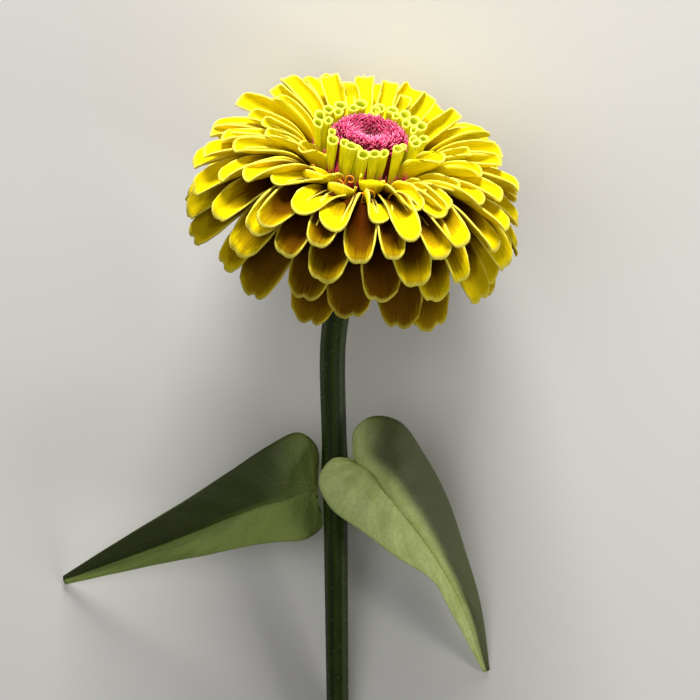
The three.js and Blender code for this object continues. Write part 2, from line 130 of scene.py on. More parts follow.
def draw(seed: float, key: int) -> float:
    """Gives a fixed pseudo-random number.

    Args:
        seed: number of the thing.
        key: which of the thing's traits it is for.

    Returns:
        A number from 0 to 1, the same one each time.
    """
    value = math.sin(seed * 12.9898 + key * 78.233) * 43758.5453
    return value - math.floor(value)


def spread(seed: float, key: int, span: float) -> float:
    """Gives a fixed pseudo-random number from -span / 2 to span / 2.

    Args:
        seed: number of the thing.
        key: which of the thing's traits it is for.
        span: whole width of the range.

    Returns:
        The number.
    """
    return (draw(seed, key) - 0.5) * span


def smooth(value: np.ndarray | float, low: float, high: float) -> np.ndarray:
    """Steps softly from 0 at low to 1 at high.

    Args:
        value: what is compared with the two limits.
        low: where the step begins.
        high: where it ends.

    Returns:
        The step, of value's shape.
    """
    k = np.clip((np.asarray(value, float) - low) / (high - low), 0, 1)
    return k * k * (3 - 2 * k)


def mix(first: np.ndarray | float, second: np.ndarray | float, share: np.ndarray | float) -> np.ndarray:
    """Mixes two values.

    Args:
        first: value at share 0.
        second: value at share 1.
        share: part of the second.

    Returns:
        The mixed value.
    """
    return first + (second - first) * share


# Modelling steps


def new_sheet(columns: int, rows: int) -> bpy.types.Object:
    """Adds a flat grid, from which a petal, a bract or a leaf is shaped.

    Args:
        columns: faces across.
        rows: faces along.

    Returns:
        The grid, 2 by 2, with its UV map.
    """
    bpy.ops.object.select_all(action="DESELECT")
    bpy.ops.mesh.primitive_grid_add(x_subdivisions=columns, y_subdivisions=rows, size=2)
    return bpy.context.object


def new_bud(sides: int, rings: int) -> bpy.types.Object:
    """Adds a closed ball of rings, from which a stem, a strand or a core is shaped.

    Args:
        sides: faces round.
        rings: faces from pole to pole.

    Returns:
        The ball, with poles on its Z axis.
    """
    bpy.ops.object.select_all(action="DESELECT")
    bpy.ops.mesh.primitive_uv_sphere_add(segments=sides, ring_count=rings, radius=1)
    return bpy.context.object


def points_of(piece: bpy.types.Object) -> np.ndarray:
    """Reads a piece's vertices.

    Args:
        piece: the mesh object.

    Returns:
        One row of x, y and z for each vertex.
    """
    flat = np.empty(len(piece.data.vertices) * 3)
    piece.data.vertices.foreach_get("co", flat)
    return flat.reshape(-1, 3)


def sheet_places(piece: bpy.types.Object) -> tuple[np.ndarray, np.ndarray]:
    """Reads where a flat grid's vertices lie on it.

    Args:
        piece: a grid from new_sheet.

    Returns:
        Places along, 0 to 1, and across, -1 to 1.
    """
    points = points_of(piece)
    return (points[:, 1] + 1) / 2, points[:, 0]


def bud_places(piece: bpy.types.Object, rings: int) -> tuple[np.ndarray, np.ndarray, np.ndarray]:
    """Reads where a ball's vertices lie on the tube that it becomes.

    Args:
        piece: a ball from new_bud.
        rings: its faces from pole to pole.

    Returns:
        Places along, 0 to 1, angles round in radians, and 0 for a pole or 1 for the rest. Each pole shares
        the plane of the ring beside it, so that both ends are closed.
    """
    points = points_of(piece)
    ring = np.rint(np.arccos(np.clip(-points[:, 2], -1, 1)) / math.pi * rings)
    along = np.clip((ring - 1) / (rings - 2), 0, 1)
    return along, np.arctan2(points[:, 1], points[:, 0]), ((ring > 0) & (ring < rings)).astype(float)


def copy_shaped(blank: bpy.types.Object, name: str, points: np.ndarray) -> bpy.types.Object:
    """Copies a blank and gives the copy its own shape.

    Args:
        blank: the piece that is copied.
        name: the copy's name.
        points: the copy's vertices in millimetres.

    Returns:
        The copy, with its own mesh.
    """
    piece = bpy.data.objects.new(name, blank.data.copy())
    bpy.context.collection.objects.link(piece)
    piece.data.vertices.foreach_set("co", (points * MM).ravel())
    return piece


def tag(piece: bpy.types.Object, name: str, values: np.ndarray | float) -> None:
    """Stores a number with each vertex, for the piece's material to read.

    Args:
        piece: the mesh object.
        name: the attribute's name.
        values: one number for each vertex, or one for all.
    """
    attribute = piece.data.attributes.new(name, "FLOAT", "POINT")
    attribute.data.foreach_set("value", np.broadcast_to(values, len(piece.data.vertices)).astype(np.float32))


def unite(pieces: Sequence[bpy.types.Object], name: str) -> bpy.types.Object:
    """Joins pieces into one.

    Args:
        pieces: the pieces, of which the first is kept.
        name: the name of the whole.

    Returns:
        The joined piece.
    """
    bpy.ops.object.select_all(action="DESELECT")
    for piece in pieces:
        piece.select_set(True)
    bpy.context.view_layer.objects.active = pieces[0]
    bpy.ops.object.join()
    pieces[0].name = name
    pieces[0].data.name = name
    return pieces[0]


def thicken(piece: bpy.types.Object, thickness: float) -> None:
    """Gives a sheet its thickness, half on each side, and tags its two faces.

    Args:
        piece: the sheet. Its attribute over becomes 1 on the side that it faces and 0 on the other.
        thickness: the thickness in millimetres.
    """
    count = len(piece.data.vertices)
    bpy.context.view_layer.objects.active = piece
    wall = piece.modifiers.new("wall", "SOLIDIFY")
    wall.thickness = thickness * MM
    wall.offset = 0
    bpy.ops.object.modifier_apply(modifier=wall.name)
    tag(piece, "over", (np.arange(len(piece.data.vertices)) >= count).astype(float))


def remove(piece: bpy.types.Object) -> None:
    """Deletes a blank that has been copied."""
    bpy.data.objects.remove(piece)


def finish(
    piece: bpy.types.Object, material: bpy.types.Material, node: str | None = None
) -> bpy.types.Object:
    """Shades a piece smooth, gives it its material and ties it to the frame.

    Args:
        piece: the finished mesh.
        material: what it is made of.
        node: the CAD node that it stands for, if any.

    Returns:
        The piece.
    """
    piece.data.materials.clear()
    piece.data.materials.append(material)
    piece.data.polygons.foreach_set("use_smooth", np.ones(len(piece.data.polygons), bool))
    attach(piece, "root")
    if node:
        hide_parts(node)
    faces = sum(len(polygon.vertices) - 2 for polygon in piece.data.polygons)
    log.info("%s: %d triangles%s", piece.name, faces, f", stands for {node}" if node else "")
    return piece


# Places and lines


@dataclass(frozen=True)
class Head:
    """Where the head sits. Azimuths round its axis count from the side that faces up.

    Attributes:
        neck: the point where the stem enters, in millimetres.
        lean_right: turn of the axis to the right, in degrees.
        rise: rise of the axis over the table.
        face_tilt: rise of the direction that azimuth 0 looks to.
        disc_height: height of the disc's top over the neck.
    """

    neck: tuple[float, float, float] = (14.629, 35.089, 28.9)
    lean_right: float = 10.35
    rise: float = 23.1
    face_tilt: float = 83.0
    disc_height: float = 32.0

    def axes(self) -> np.ndarray:
        """Gives the head's three axes.

        Returns:
            One row each for the face, the right and the way up through the disc.
        """
        lean, rise, tilt = map(math.radians, (self.lean_right, self.rise, self.face_tilt))
        axis = np.array([math.sin(lean) * math.cos(rise), math.cos(lean) * math.cos(rise), math.sin(rise)])
        face = np.array([0, math.cos(tilt), math.sin(tilt)])
        face -= axis * (face @ axis)
        face /= np.linalg.norm(face)
        return np.array([face, np.cross(axis, face), axis])

    def to_world(self, local: np.ndarray) -> np.ndarray:
        """Places points of the head.

        Args:
            local: points as face, right and height over the neck, in millimetres.

        Returns:
            The same points over the table.
        """
        return np.asarray(local) @ self.axes() + np.array(self.neck)

    def around(
        self, azimuth: np.ndarray | float, radius: np.ndarray | float, depth: np.ndarray | float
    ) -> np.ndarray:
        """Places points given round the axis.

        Args:
            azimuth: angles in radians.
            radius: distances from the axis.
            depth: depths below the disc's top.

        Returns:
            The points over the table.
        """
        azimuth, radius, depth = np.broadcast_arrays(azimuth, radius, depth)
        height = self.disc_height - depth
        return self.to_world(np.stack([radius * np.cos(azimuth), radius * np.sin(azimuth), height], -1))

    def beside(
        self, azimuth: float, radius: np.ndarray, sideways: np.ndarray, height: np.ndarray
    ) -> np.ndarray:
        """Places points of a piece that grows at one azimuth.

        Args:
            azimuth: the piece's place round the axis, in radians.
            radius: distances from the axis, along that azimuth.
            sideways: distances to the side of it.
            height: heights over the neck.

        Returns:
            The points over the table.
        """
        c, s = math.cos(azimuth), math.sin(azimuth)
        return self.to_world(np.stack([radius * c - sideways * s, radius * s + sideways * c, height], 1))


HEAD = Head()


def pressed(points: np.ndarray, level: float = 0.3, softness: float = 0.2) -> np.ndarray:
    """Bends up onto the table what would be under it.

    Args:
        points: points over the table.
        level: lowest height of a mid surface.
        softness: height over which the bend begins.

    Returns:
        The points, with their heights changed.
    """
    over = (points[:, 2] - level) / softness
    bent = points.copy()
    bent[:, 2] = level + softness * np.logaddexp(0, over)
    return bent


@dataclass(frozen=True)
class Line:
    """A smooth line through points, in millimetres.

    Attributes:
        points: the points that it passes through.
    """

    points: np.ndarray

    def at(self, share: np.ndarray) -> np.ndarray:
        """Gives points of the line.

        Args:
            share: where, 0 at the first point and 1 at the last, with an equal part for each stretch.

        Returns:
            One row for each share.
        """
        known = np.asarray(self.points, float)
        padded = np.vstack([2 * known[0] - known[1], known, 2 * known[-1] - known[-2]])
        spot = np.clip(share, 0, 1) * (len(known) - 1)
        start = np.minimum(spot.astype(int), len(known) - 2)
        w = (spot - start)[:, None]
        p0, p1, p2, p3 = (padded[start + k] for k in range(4))
        gaps = (np.linalg.norm(b - a, axis=1) for a, b in ((p0, p1), (p1, p2), (p2, p3)))
        d0, d1, d2 = (gap[:, None] ** 0.5 for gap in gaps)
        t1 = ((p1 - p0) / d0 - (p2 - p0) / (d0 + d1) + (p2 - p1) / d1) * d1
        t2 = ((p2 - p1) / d1 - (p3 - p1) / (d1 + d2) + (p3 - p2) / d2) * d1
        square = -3 * p1 + 3 * p2 - 2 * t1 - t2
        return p1 + t1 * w + square * w**2 + (2 * p1 - 2 * p2 + t1 + t2) * w**3

    def evenly(self, count: int) -> np.ndarray:
        """Gives equally spaced points of the line.

        Args:
            count: how many.

        Returns:
            The points.
        """
        fine_steps = 40 * len(self.points)
        fine = self.at(np.linspace(0, 1, fine_steps))
        run = np.concatenate([[0], np.cumsum(np.linalg.norm(np.diff(fine, axis=0), axis=1))])
        return np.stack([np.interp(np.linspace(0, run[-1], count), run, fine[:, k]) for k in range(3)], 1)


def length_of(path: np.ndarray) -> float:
    """Measures a path along its points."""
    return float(np.linalg.norm(np.diff(path, axis=0), axis=1).sum())


def tube_points(path: np.ndarray, along: np.ndarray, angle: np.ndarray, radius: np.ndarray) -> np.ndarray:
    """Wraps a tube round a path.

    Args:
        path: equally spaced points of the middle line.
        along: place of each vertex on the path, 0 to 1.
        angle: its angle round the path, in radians.
        radius: its distance from the path.

    Returns:
        The tube's vertices.
    """
    ways = np.gradient(path, axis=0)
    ways /= np.linalg.norm(ways, axis=1)[:, None]
    first = np.empty_like(path)
    last = np.array([0.0, 0.0, 1.0])
    for k, way in enumerate(ways):
        last = last - way * (last @ way)
        last /= np.linalg.norm(last)
        first[k] = last
    second = np.cross(ways, first)
    steps = np.linspace(0, 1, len(path))

    def pick(rows: np.ndarray) -> np.ndarray:
        """Reads rows at the vertices' places along the path."""
        return np.stack([np.interp(along, steps, rows[:, k]) for k in range(3)], 1)

    outward = np.cos(angle)[:, None] * pick(first) + np.sin(angle)[:, None] * pick(second)
    return pick(path) + radius[:, None] * outward


# Materials


class Value:
    """A number in a material: Python's operators on it add Math nodes."""

    def __init__(self, graph: "Graph", socket: bpy.types.NodeSocket) -> None:
        """Wraps a node's output."""
        self.graph = graph
        self.socket = socket

    def math(self, operation: str, *numbers: "Value | float") -> "Value":
        """Adds one Math node.

        Args:
            operation: its operation.
            numbers: its inputs in order.

        Returns:
            Its output.
        """
        node = self.graph.node("ShaderNodeMath", {"operation": operation}, dict(enumerate(numbers)))
        return Value(self.graph, node.outputs[0])

    def __add__(self, other: "Value | float") -> "Value":
        """Adds."""
        return self.math("ADD", self, other)

    __radd__ = __add__

    def __sub__(self, other: "Value | float") -> "Value":
        """Subtracts."""
        return self.math("SUBTRACT", self, other)

    def __rsub__(self, other: float) -> "Value":
        """Is subtracted from a number."""
        return self.math("SUBTRACT", other, self)

    def __mul__(self, other: "Value | float") -> "Value":
        """Multiplies."""
        return self.math("MULTIPLY", self, other)

    __rmul__ = __mul__

    def __pow__(self, other: float) -> "Value":
        """Raises to a power."""
        return self.math("POWER", self, other)

    def __abs__(self) -> "Value":
        """Drops the sign."""
        return self.math("ABSOLUTE", self)

    def wave(self) -> "Value":
        """Gives the cosine, moved to run from 0 to 1."""
        return self.math("COSINE", self) * 0.5 + 0.5

    def sine(self) -> "Value":
        """Gives the sine."""
        return self.math("SINE", self)

    def most(self, other: "Value | float") -> "Value":
        """Gives the larger of two."""
        return self.math("MAXIMUM", self, other)

    def step(self, low: "Value | float", high: "Value | float") -> "Value":
        """Steps softly from 0 at low to 1 at high.

        Args:
            low: where the step begins.
            high: where it ends.

        Returns:
            The step.
        """
        limits = {"Value": self, "From Min": low, "From Max": high}
        node = self.graph.node("ShaderNodeMapRange", {"interpolation_type": "SMOOTHSTEP"}, limits)
        return Value(self.graph, node.outputs["Result"])


Paint = Colour | bpy.types.NodeSocket


class Graph:
    """A material's nodes round one Principled shader."""

    def __init__(self, name: str) -> None:
        """Starts the material.

        Args:
            name: its name.
        """
        self.material = bpy.data.materials.new(name)
        self.material.use_nodes = True
        self.tree = self.material.node_tree
        self.shader = self.tree.nodes["Principled BSDF"]

    def node(self, kind: str, settings: dict, values: dict) -> bpy.types.Node:
        """Adds one node.

        Args:
            kind: the node's type.
            settings: its settings, among them a ramp's stops, which are set first.
            values: numbers or links for its inputs, by name or number.

        Returns:
            The node.
        """
        node = self.tree.nodes.new(kind)
        for key, setting in settings.items():
            if key == "stops":
                self._set_stops(node.color_ramp, setting)
            else:
                setattr(node, key, setting)
        self._feed(node, values)
        return node

    def _feed(self, node: bpy.types.Node, values: dict) -> None:
        """Links or sets a node's inputs.

        Args:
            node: the node.
            values: numbers or links for its inputs, by name or number.
        """
        for key, value in values.items():
            source = value.socket if isinstance(value, Value) else value
            if isinstance(source, bpy.types.NodeSocket):
                self.tree.links.new(source, node.inputs[key])
            else:
                node.inputs[key].default_value = source

    @staticmethod
    def _set_stops(ramp: bpy.types.ColorRamp, stops: Sequence[tuple[float, Colour]]) -> None:
        """Writes a ramp's stops.

        Args:
            ramp: the ramp.
            stops: position and colour of each stop.
        """
        while len(ramp.elements) < len(stops):
            ramp.elements.new(1)
        for element, (position, colour) in zip(ramp.elements, stops):
            element.position = position
            element.color = colour

    def attribute(self, name: str) -> Value:
        """Reads a number that the piece stores with its vertices."""
        return Value(self, self.node("ShaderNodeAttribute", {"attribute_name": name}, {}).outputs["Fac"])

    def sheet(self) -> tuple[Value, Value]:
        """Reads the piece's UV map.

        Returns:
            Places across and along, each 0 to 1.
        """
        place = self.node("ShaderNodeUVMap", {"uv_map": "UVMap"}, {}).outputs[0]
        parts = self.node("ShaderNodeSeparateXYZ", {}, {0: place})
        return Value(self, parts.outputs[0]), Value(self, parts.outputs[1])

    def place(self) -> bpy.types.NodeSocket:
        """Reads object coordinates, in metres."""
        return self.node("ShaderNodeTexCoord", {}, {}).outputs["Object"]

    def noise(self, scale: float, detail: float, at: bpy.types.NodeSocket) -> Value:
        """Adds a noise pattern.

        Args:
            scale: waves per unit.
            detail: finer layers.
            at: the coordinates that it is drawn on.

        Returns:
            The pattern, about 0 to 1.
        """
        node = self.node("ShaderNodeTexNoise", {}, {"Vector": at, "Scale": scale, "Detail": detail})
        return Value(self, node.outputs["Fac"])

    def vector(self, x: Value | float, y: Value | float, z: Value | float) -> bpy.types.NodeSocket:
        """Makes coordinates from three numbers."""
        return self.node("ShaderNodeCombineXYZ", {}, {0: x, 1: y, 2: z}).outputs[0]

    def ramp(self, value: Value, stops: Sequence[tuple[float, Colour]]) -> bpy.types.NodeSocket:
        """Turns a number into a colour by a ramp of stops."""
        return self.node("ShaderNodeValToRGB", {"stops": stops}, {0: value}).outputs["Color"]

    def blend(self, share: Value | float, first: Paint, second: Paint) -> bpy.types.NodeSocket:
        """Mixes two colours.

        Args:
            share: part of the second colour.
            first: colour at share 0.
            second: colour at share 1.

        Returns:
            The mixed colour.
        """
        node = self.node("ShaderNodeMix", {"data_type": "RGBA"}, {0: share, 6: first, 7: second})
        return node.outputs[2]

    def finish(
        self, colour: Paint, roughness: Value | float, height: Value | None = None, **constants: object
    ) -> bpy.types.Material:
        """Feeds the shader.

        Args:
            colour: the base colour.
            roughness: the roughness.
            height: relief for a bump, in tenths of a millimetre.
            constants: other inputs of the shader, by name with _ for a space.

        Returns:
            The finished material.
        """
        values = {"Base Color": colour, "Roughness": roughness}
        if height is not None:
            bump = self.node("ShaderNodeBump", {}, {"Height": height, "Strength": 1.0, "Distance": 0.1 * MM})
            values["Normal"] = bump.outputs[0]
        values.update({key.replace("_", " "): value for key, value in constants.items()})
        self._feed(self.shader, values)
        return self.material


@dataclass(frozen=True)
class PetalFinish:
    """Ray petals: lime yellow with a pale rim, partly painted highlight, fine veins and a rose-brown flush
    from the base, partly painted shade.

    Attributes:
        base: colour at the root, a dark rose-brown that is partly painted shade.
        flush: colour of the flush, darkened as painted shade of the petals above.
        blade: colour of the middle of the blade.
        tip: colour of the outer blade.
        lime: what greens the innermost petals.
        rim: colour of the edge, partly painted highlight of the lit rims.
        vein: colour of the veins.
        old: colour that the lowest petals turn to, their older tone darkened as painted shade under the rows
            above.
        under: colour of the underside.
        softness: share of the light that passes into the petal.
        veins: number of veins across.
        stops: places along where base, flush, blade and tip are full.
        shift: how far all colours are moved towards the root.
        front_shift: how far the flush is moved back towards the tip in front, as painted shade on the front
            petals.
        lime_share: how strong the lime is at most.
        vein_share: how strong the veins are.
        under_share: how strong the colour of the underside is at most.
        roughness: least roughness.
        scatter: how deep red, green and blue light goes in, as shares of the depth.
        scatter_depth: that depth in millimetres.
    """

    base: Colour = (0.052, 0.011, 0.001, 1.0)
    flush: Colour = (0.115, 0.047, 0.001, 1.0)
    blade: Colour = (0.50, 0.34, 0.002, 1.0)
    tip: Colour = (0.80, 0.62, 0.003, 1.0)
    lime: Colour = (0.70, 0.64, 0.006, 1.0)
    rim: Colour = (0.92, 0.82, 0.12, 1.0)
    vein: Colour = (0.16, 0.05, 0.002, 1.0)
    old: Colour = (0.17, 0.085, 0.006, 1.0)
    under: Colour = (0.50, 0.33, 0.04, 1.0)
    softness: float = 0.08
    veins: int = 17
    stops: tuple[float, ...] = (0.6, 0.82, 0.97, 1.06)
    shift: float = 0.24
    front_shift: float = 0.36
    lime_share: float = 0.7
    vein_share: float = 0.14
    under_share: float = 0.6
    roughness: float = 0.7
    scatter: tuple[float, float, float] = (1.0, 0.75, 0.15)
    scatter_depth: float = 0.6

    def make(self) -> bpy.types.Material:
        """Builds the material.

        Returns:
            The material.
        """
        graph = Graph("petal")
        across, along = graph.sheet()
        tier, chance, over, front = (graph.attribute(name) for name in ("tier", "chance", "over", "front"))
        side = abs(across * 2 - 1)
        streaks = graph.vector(across * 9 + chance * 40, along * 1.2 + chance * 13, tier * 7)
        lines = graph.noise(3.0, 3.0, streaks)
        vein = (across * (TURN * self.veins) + lines * 6).wave() ** 2
        place = along + tier.step(0.45, 1.0) * 0.34 + side**2 * 0.14
        place = place + (lines - 0.5) * 0.16 + (chance - 0.5) * 0.12
        # Painted shade: in front the dark root colours reach further towards the tip.
        place = place + self.shift - front * (1 - tier.step(0.6, 0.85)) * self.front_shift
        # Real flush with painted shade: the ramp runs from a dark rose-brown root through the flush to the
        # tip, darker than the petal's own colour where petals above shade it.
        colour = graph.ramp(place, list(zip(self.stops, (self.base, self.flush, self.blade, self.tip))))
        inner = tier.step(0.6, 1.0) * along.step(0.3, 0.7)
        colour = graph.blend(inner * self.lime_share, colour, self.lime)
        colour = graph.blend(vein * self.vein_share, colour, self.vein)
        # Older tone with painted shade: the lowest petals darken, most towards the root.
        colour = graph.blend((1 - tier.step(0.05, 0.5)) * (0.95 - 0.45 * along), colour, self.old)
        colour = graph.blend((1 - over) * (1 - tier) * self.under_share, colour, self.under)
        # Partly painted highlight: a pale rim along the edges and the tip, stronger on the upper tiers.
        rim = side.step(0.86, 1.0).most(along.step(0.965, 0.995)) * along.step(0.3, 0.7)
        colour = graph.blend(rim * (0.35 + 0.45 * tier.step(0.1, 0.5)), colour, self.rim)
        return graph.finish(
            colour,
            self.roughness + 0.12 * lines,
            vein * 0.3 + lines,
            Subsurface_Weight=self.softness,
            Subsurface_Radius=self.scatter,
            Subsurface_Scale=self.scatter_depth * MM,
            Specular_IOR_Level=0.0,
        )


@dataclass(frozen=True)
class QuillFinish:
    """Rolled florets: lime green, darker inside and at the foot, with a pale lip and a painted glow.

    Attributes:
        outside: colour of the outer wall.
        foot: colour near the foot.
        inside: colour in the mouth.
        lip: colour of the edge of the mouth.
        glow: painted glow, as if light came through the thin wall.
        grooves: number of grooves round.
        groove_share: how dark the grooves are.
        streak_share: how dark the streaks are.
    """

    outside: Colour = (0.78, 0.74, 0.006, 1.0)
    foot: Colour = (0.34, 0.24, 0.01, 1.0)
    inside: Colour = (0.42, 0.46, 0.004, 1.0)
    lip: Colour = (0.88, 0.86, 0.10, 1.0)
    glow: float = 0.1
    grooves: int = 9
    groove_share: float = 0.25
    streak_share: float = 0.45

    def make(self) -> bpy.types.Material:
        """Builds the material.

        Returns:
            The material.
        """
        graph = Graph("quill")
        across, along = graph.sheet()
        chance, over = graph.attribute("chance"), graph.attribute("over")
        lines = graph.noise(3.0, 2.0, graph.vector(across * 12 + chance * 30, along * 1.5, chance * 9))
        groove = (across * (TURN * self.grooves) + lines * 3).wave()
        colour = graph.ramp(along + (lines - 0.5) * 0.2, [(0.1, self.foot), (0.55, self.outside)])
        streak = lines.step(0.42, 0.62)
        marks = groove * self.groove_share + streak * self.streak_share
        colour = graph.blend(marks, colour, self.inside)
        colour = graph.blend(over, colour, self.inside)
        seam = abs(across * 2 - 1).step(0.93, 0.99) * along.step(0.5, 0.8)
        lip = along.step(0.965, 0.985).most(seam)
        colour = graph.blend(lip, colour, self.lip)
        return graph.finish(
            colour,
            0.45,
            groove * 0.6,
            # Painted glow: the wall shines a little by itself, standing in for light that comes through it.
            Emission_Color=self.outside,
            Emission_Strength=self.glow,
            Subsurface_Weight=0.1,
            Subsurface_Radius=(1.0, 0.9, 0.1),
            Subsurface_Scale=0.5 * MM,
            Specular_IOR_Level=0.2,
        )


@dataclass(frozen=True)
class StrandFinish:
    """Strands of the disc: deep pink at the foot, paler at the tip, browner round the pit.

    Attributes:
        foot: colour of the foot.
        middle: colour of the strand.
        tip: colour of its end.
        pit: colour round the pit.
    """

    foot: Colour = (0.16, 0.002, 0.02, 1.0)
    middle: Colour = (0.93, 0.05, 0.24, 1.0)
    tip: Colour = (0.97, 0.28, 0.45, 1.0)
    pit: Colour = (0.22, 0.03, 0.02, 1.0)

    def make(self) -> bpy.types.Material:
        """Builds the material.

        Returns:
            The material.
        """
        graph = Graph("disc")
        along, chance, reach = (graph.attribute(name) for name in ("along", "chance", "reach"))
        stops = [(0.3, self.foot), (0.6, self.middle), (1.0, self.tip)]
        colour = graph.ramp(along + (chance - 0.5) * 0.3, stops)
        colour = graph.blend((1 - reach.step(0.1, 0.5)) * 0.85, colour, self.pit)
        return graph.finish(
            colour,
            0.55,
            Subsurface_Weight=0.2,
            Subsurface_Radius=(1.0, 0.3, 0.4),
            Subsurface_Scale=0.5 * MM,
            Specular_IOR_Level=0.3,
        )


@dataclass(frozen=True)
class StyleFinish:
    """Curled styles: orange, redder at the foot, with a painted glow.

    Attributes:
        foot: colour of the foot.
        tip: colour of the curled end.
        glow: painted glow, as if light came through them.
    """

    foot: Colour = (0.62, 0.15, 0.01, 1.0)
    tip: Colour = (0.93, 0.43, 0.01, 1.0)
    glow: float = 0.12

    def make(self) -> bpy.types.Material:
        """Builds the material.

        Returns:
            The material.
        """
        graph = Graph("style")
        along = graph.attribute("along")
        grain = graph.noise(2500.0, 1.0, graph.place())
        colour = graph.ramp(along + (grain - 0.5) * 0.3, [(0.1, self.foot), (0.7, self.tip)])
        return graph.finish(
            colour,
            0.45,
            # Painted glow: the styles shine a little by themselves, standing in for light that comes through
            # them.
            Emission_Color=self.tip,
            Emission_Strength=self.glow,
            Specular_IOR_Level=0.35,
        )


@dataclass(frozen=True)
class BractFinish:
    """Bracts and the cup under them: mid green with a dark dry edge and fine lines.

    Attributes:
        scale: colour of a bract.
        foot: colour near its foot.
        edge: colour of its edge.
        line: colour of its fine lines.
    """

    scale: Colour = (0.16, 0.22, 0.03, 1.0)
    foot: Colour = (0.25, 0.32, 0.06, 1.0)
    edge: Colour = (0.05, 0.03, 0.012, 1.0)
    line: Colour = (0.08, 0.12, 0.02, 1.0)

    def make(self) -> bpy.types.Material:
        """Builds the material.

        Returns:
            The material.
        """
        graph = Graph("bract")
        across, along = graph.sheet()
        chance = graph.attribute("chance")
        lines = graph.noise(4.0, 3.0, graph.vector(across * 8 + chance * 40, along * 1.2, chance * 9))
        colour = graph.blend(1 - along.step(0.1, 0.7), self.scale, self.foot)
        colour = graph.blend(lines.step(0.45, 0.75) * 0.4, colour, self.line)
        margin = abs(across * 2 - 1).step(0.9, 1.0) * along.step(0.3, 0.6)
        edge = (along + (lines - 0.5) * 0.1).step(0.84, 0.95).most(margin)
        colour = graph.blend(edge * 0.85, colour, self.edge)
        return graph.finish(colour, 0.55 + 0.2 * edge, lines * 1.5)


@dataclass(frozen=True)
class StemFinish:
    """Stem: dark green with paler ribs and a speckle.

    Attributes:
        groove: colour between the ribs.
        rib: colour on the ribs.
        cut: colour of the cut end and of the hairs.
    """

    groove: Colour = (0.012, 0.024, 0.001, 1.0)
    rib: Colour = (0.040, 0.062, 0.001, 1.0)
    cut: Colour = (0.45, 0.50, 0.22, 1.0)

    def make(self) -> bpy.types.Material:
        """Builds the material.

        Returns:
            The material.
        """
        graph = Graph("stem")
        rib, end = graph.attribute("rib"), graph.attribute("end")
        place = graph.place()
        mottle = graph.noise(220.0, 3.0, place)
        grain = graph.noise(2600.0, 2.0, place)
        colour = graph.blend(rib * 0.6 + (mottle - 0.5) * 0.8, self.groove, self.rib)
        colour = graph.blend(end, colour, self.cut)
        return graph.finish(
            colour,
            0.42 + 0.15 * mottle,
            grain * 0.8,
            Specular_IOR_Level=0.25,
            Subsurface_Weight=0.05,
            Subsurface_Radius=(0.6, 1.0, 0.2),
            Subsurface_Scale=1.0 * MM,
        )


@dataclass(frozen=True)
class HairFinish:
    """Short pale hairs of the stem.

    Attributes:
        colour: their colour.
        dull: colour of the darker ones.
    """

    colour: Colour = (0.50, 0.55, 0.30, 1.0)
    dull: Colour = (0.30, 0.36, 0.15, 1.0)

    def make(self) -> bpy.types.Material:
        """Builds the material.

        Returns:
            The material.
        """
        graph = Graph("hair")
        shade = graph.noise(900.0, 1.0, graph.place())
        colour = graph.blend(shade, self.colour, self.dull)
        return graph.finish(colour, 0.5)


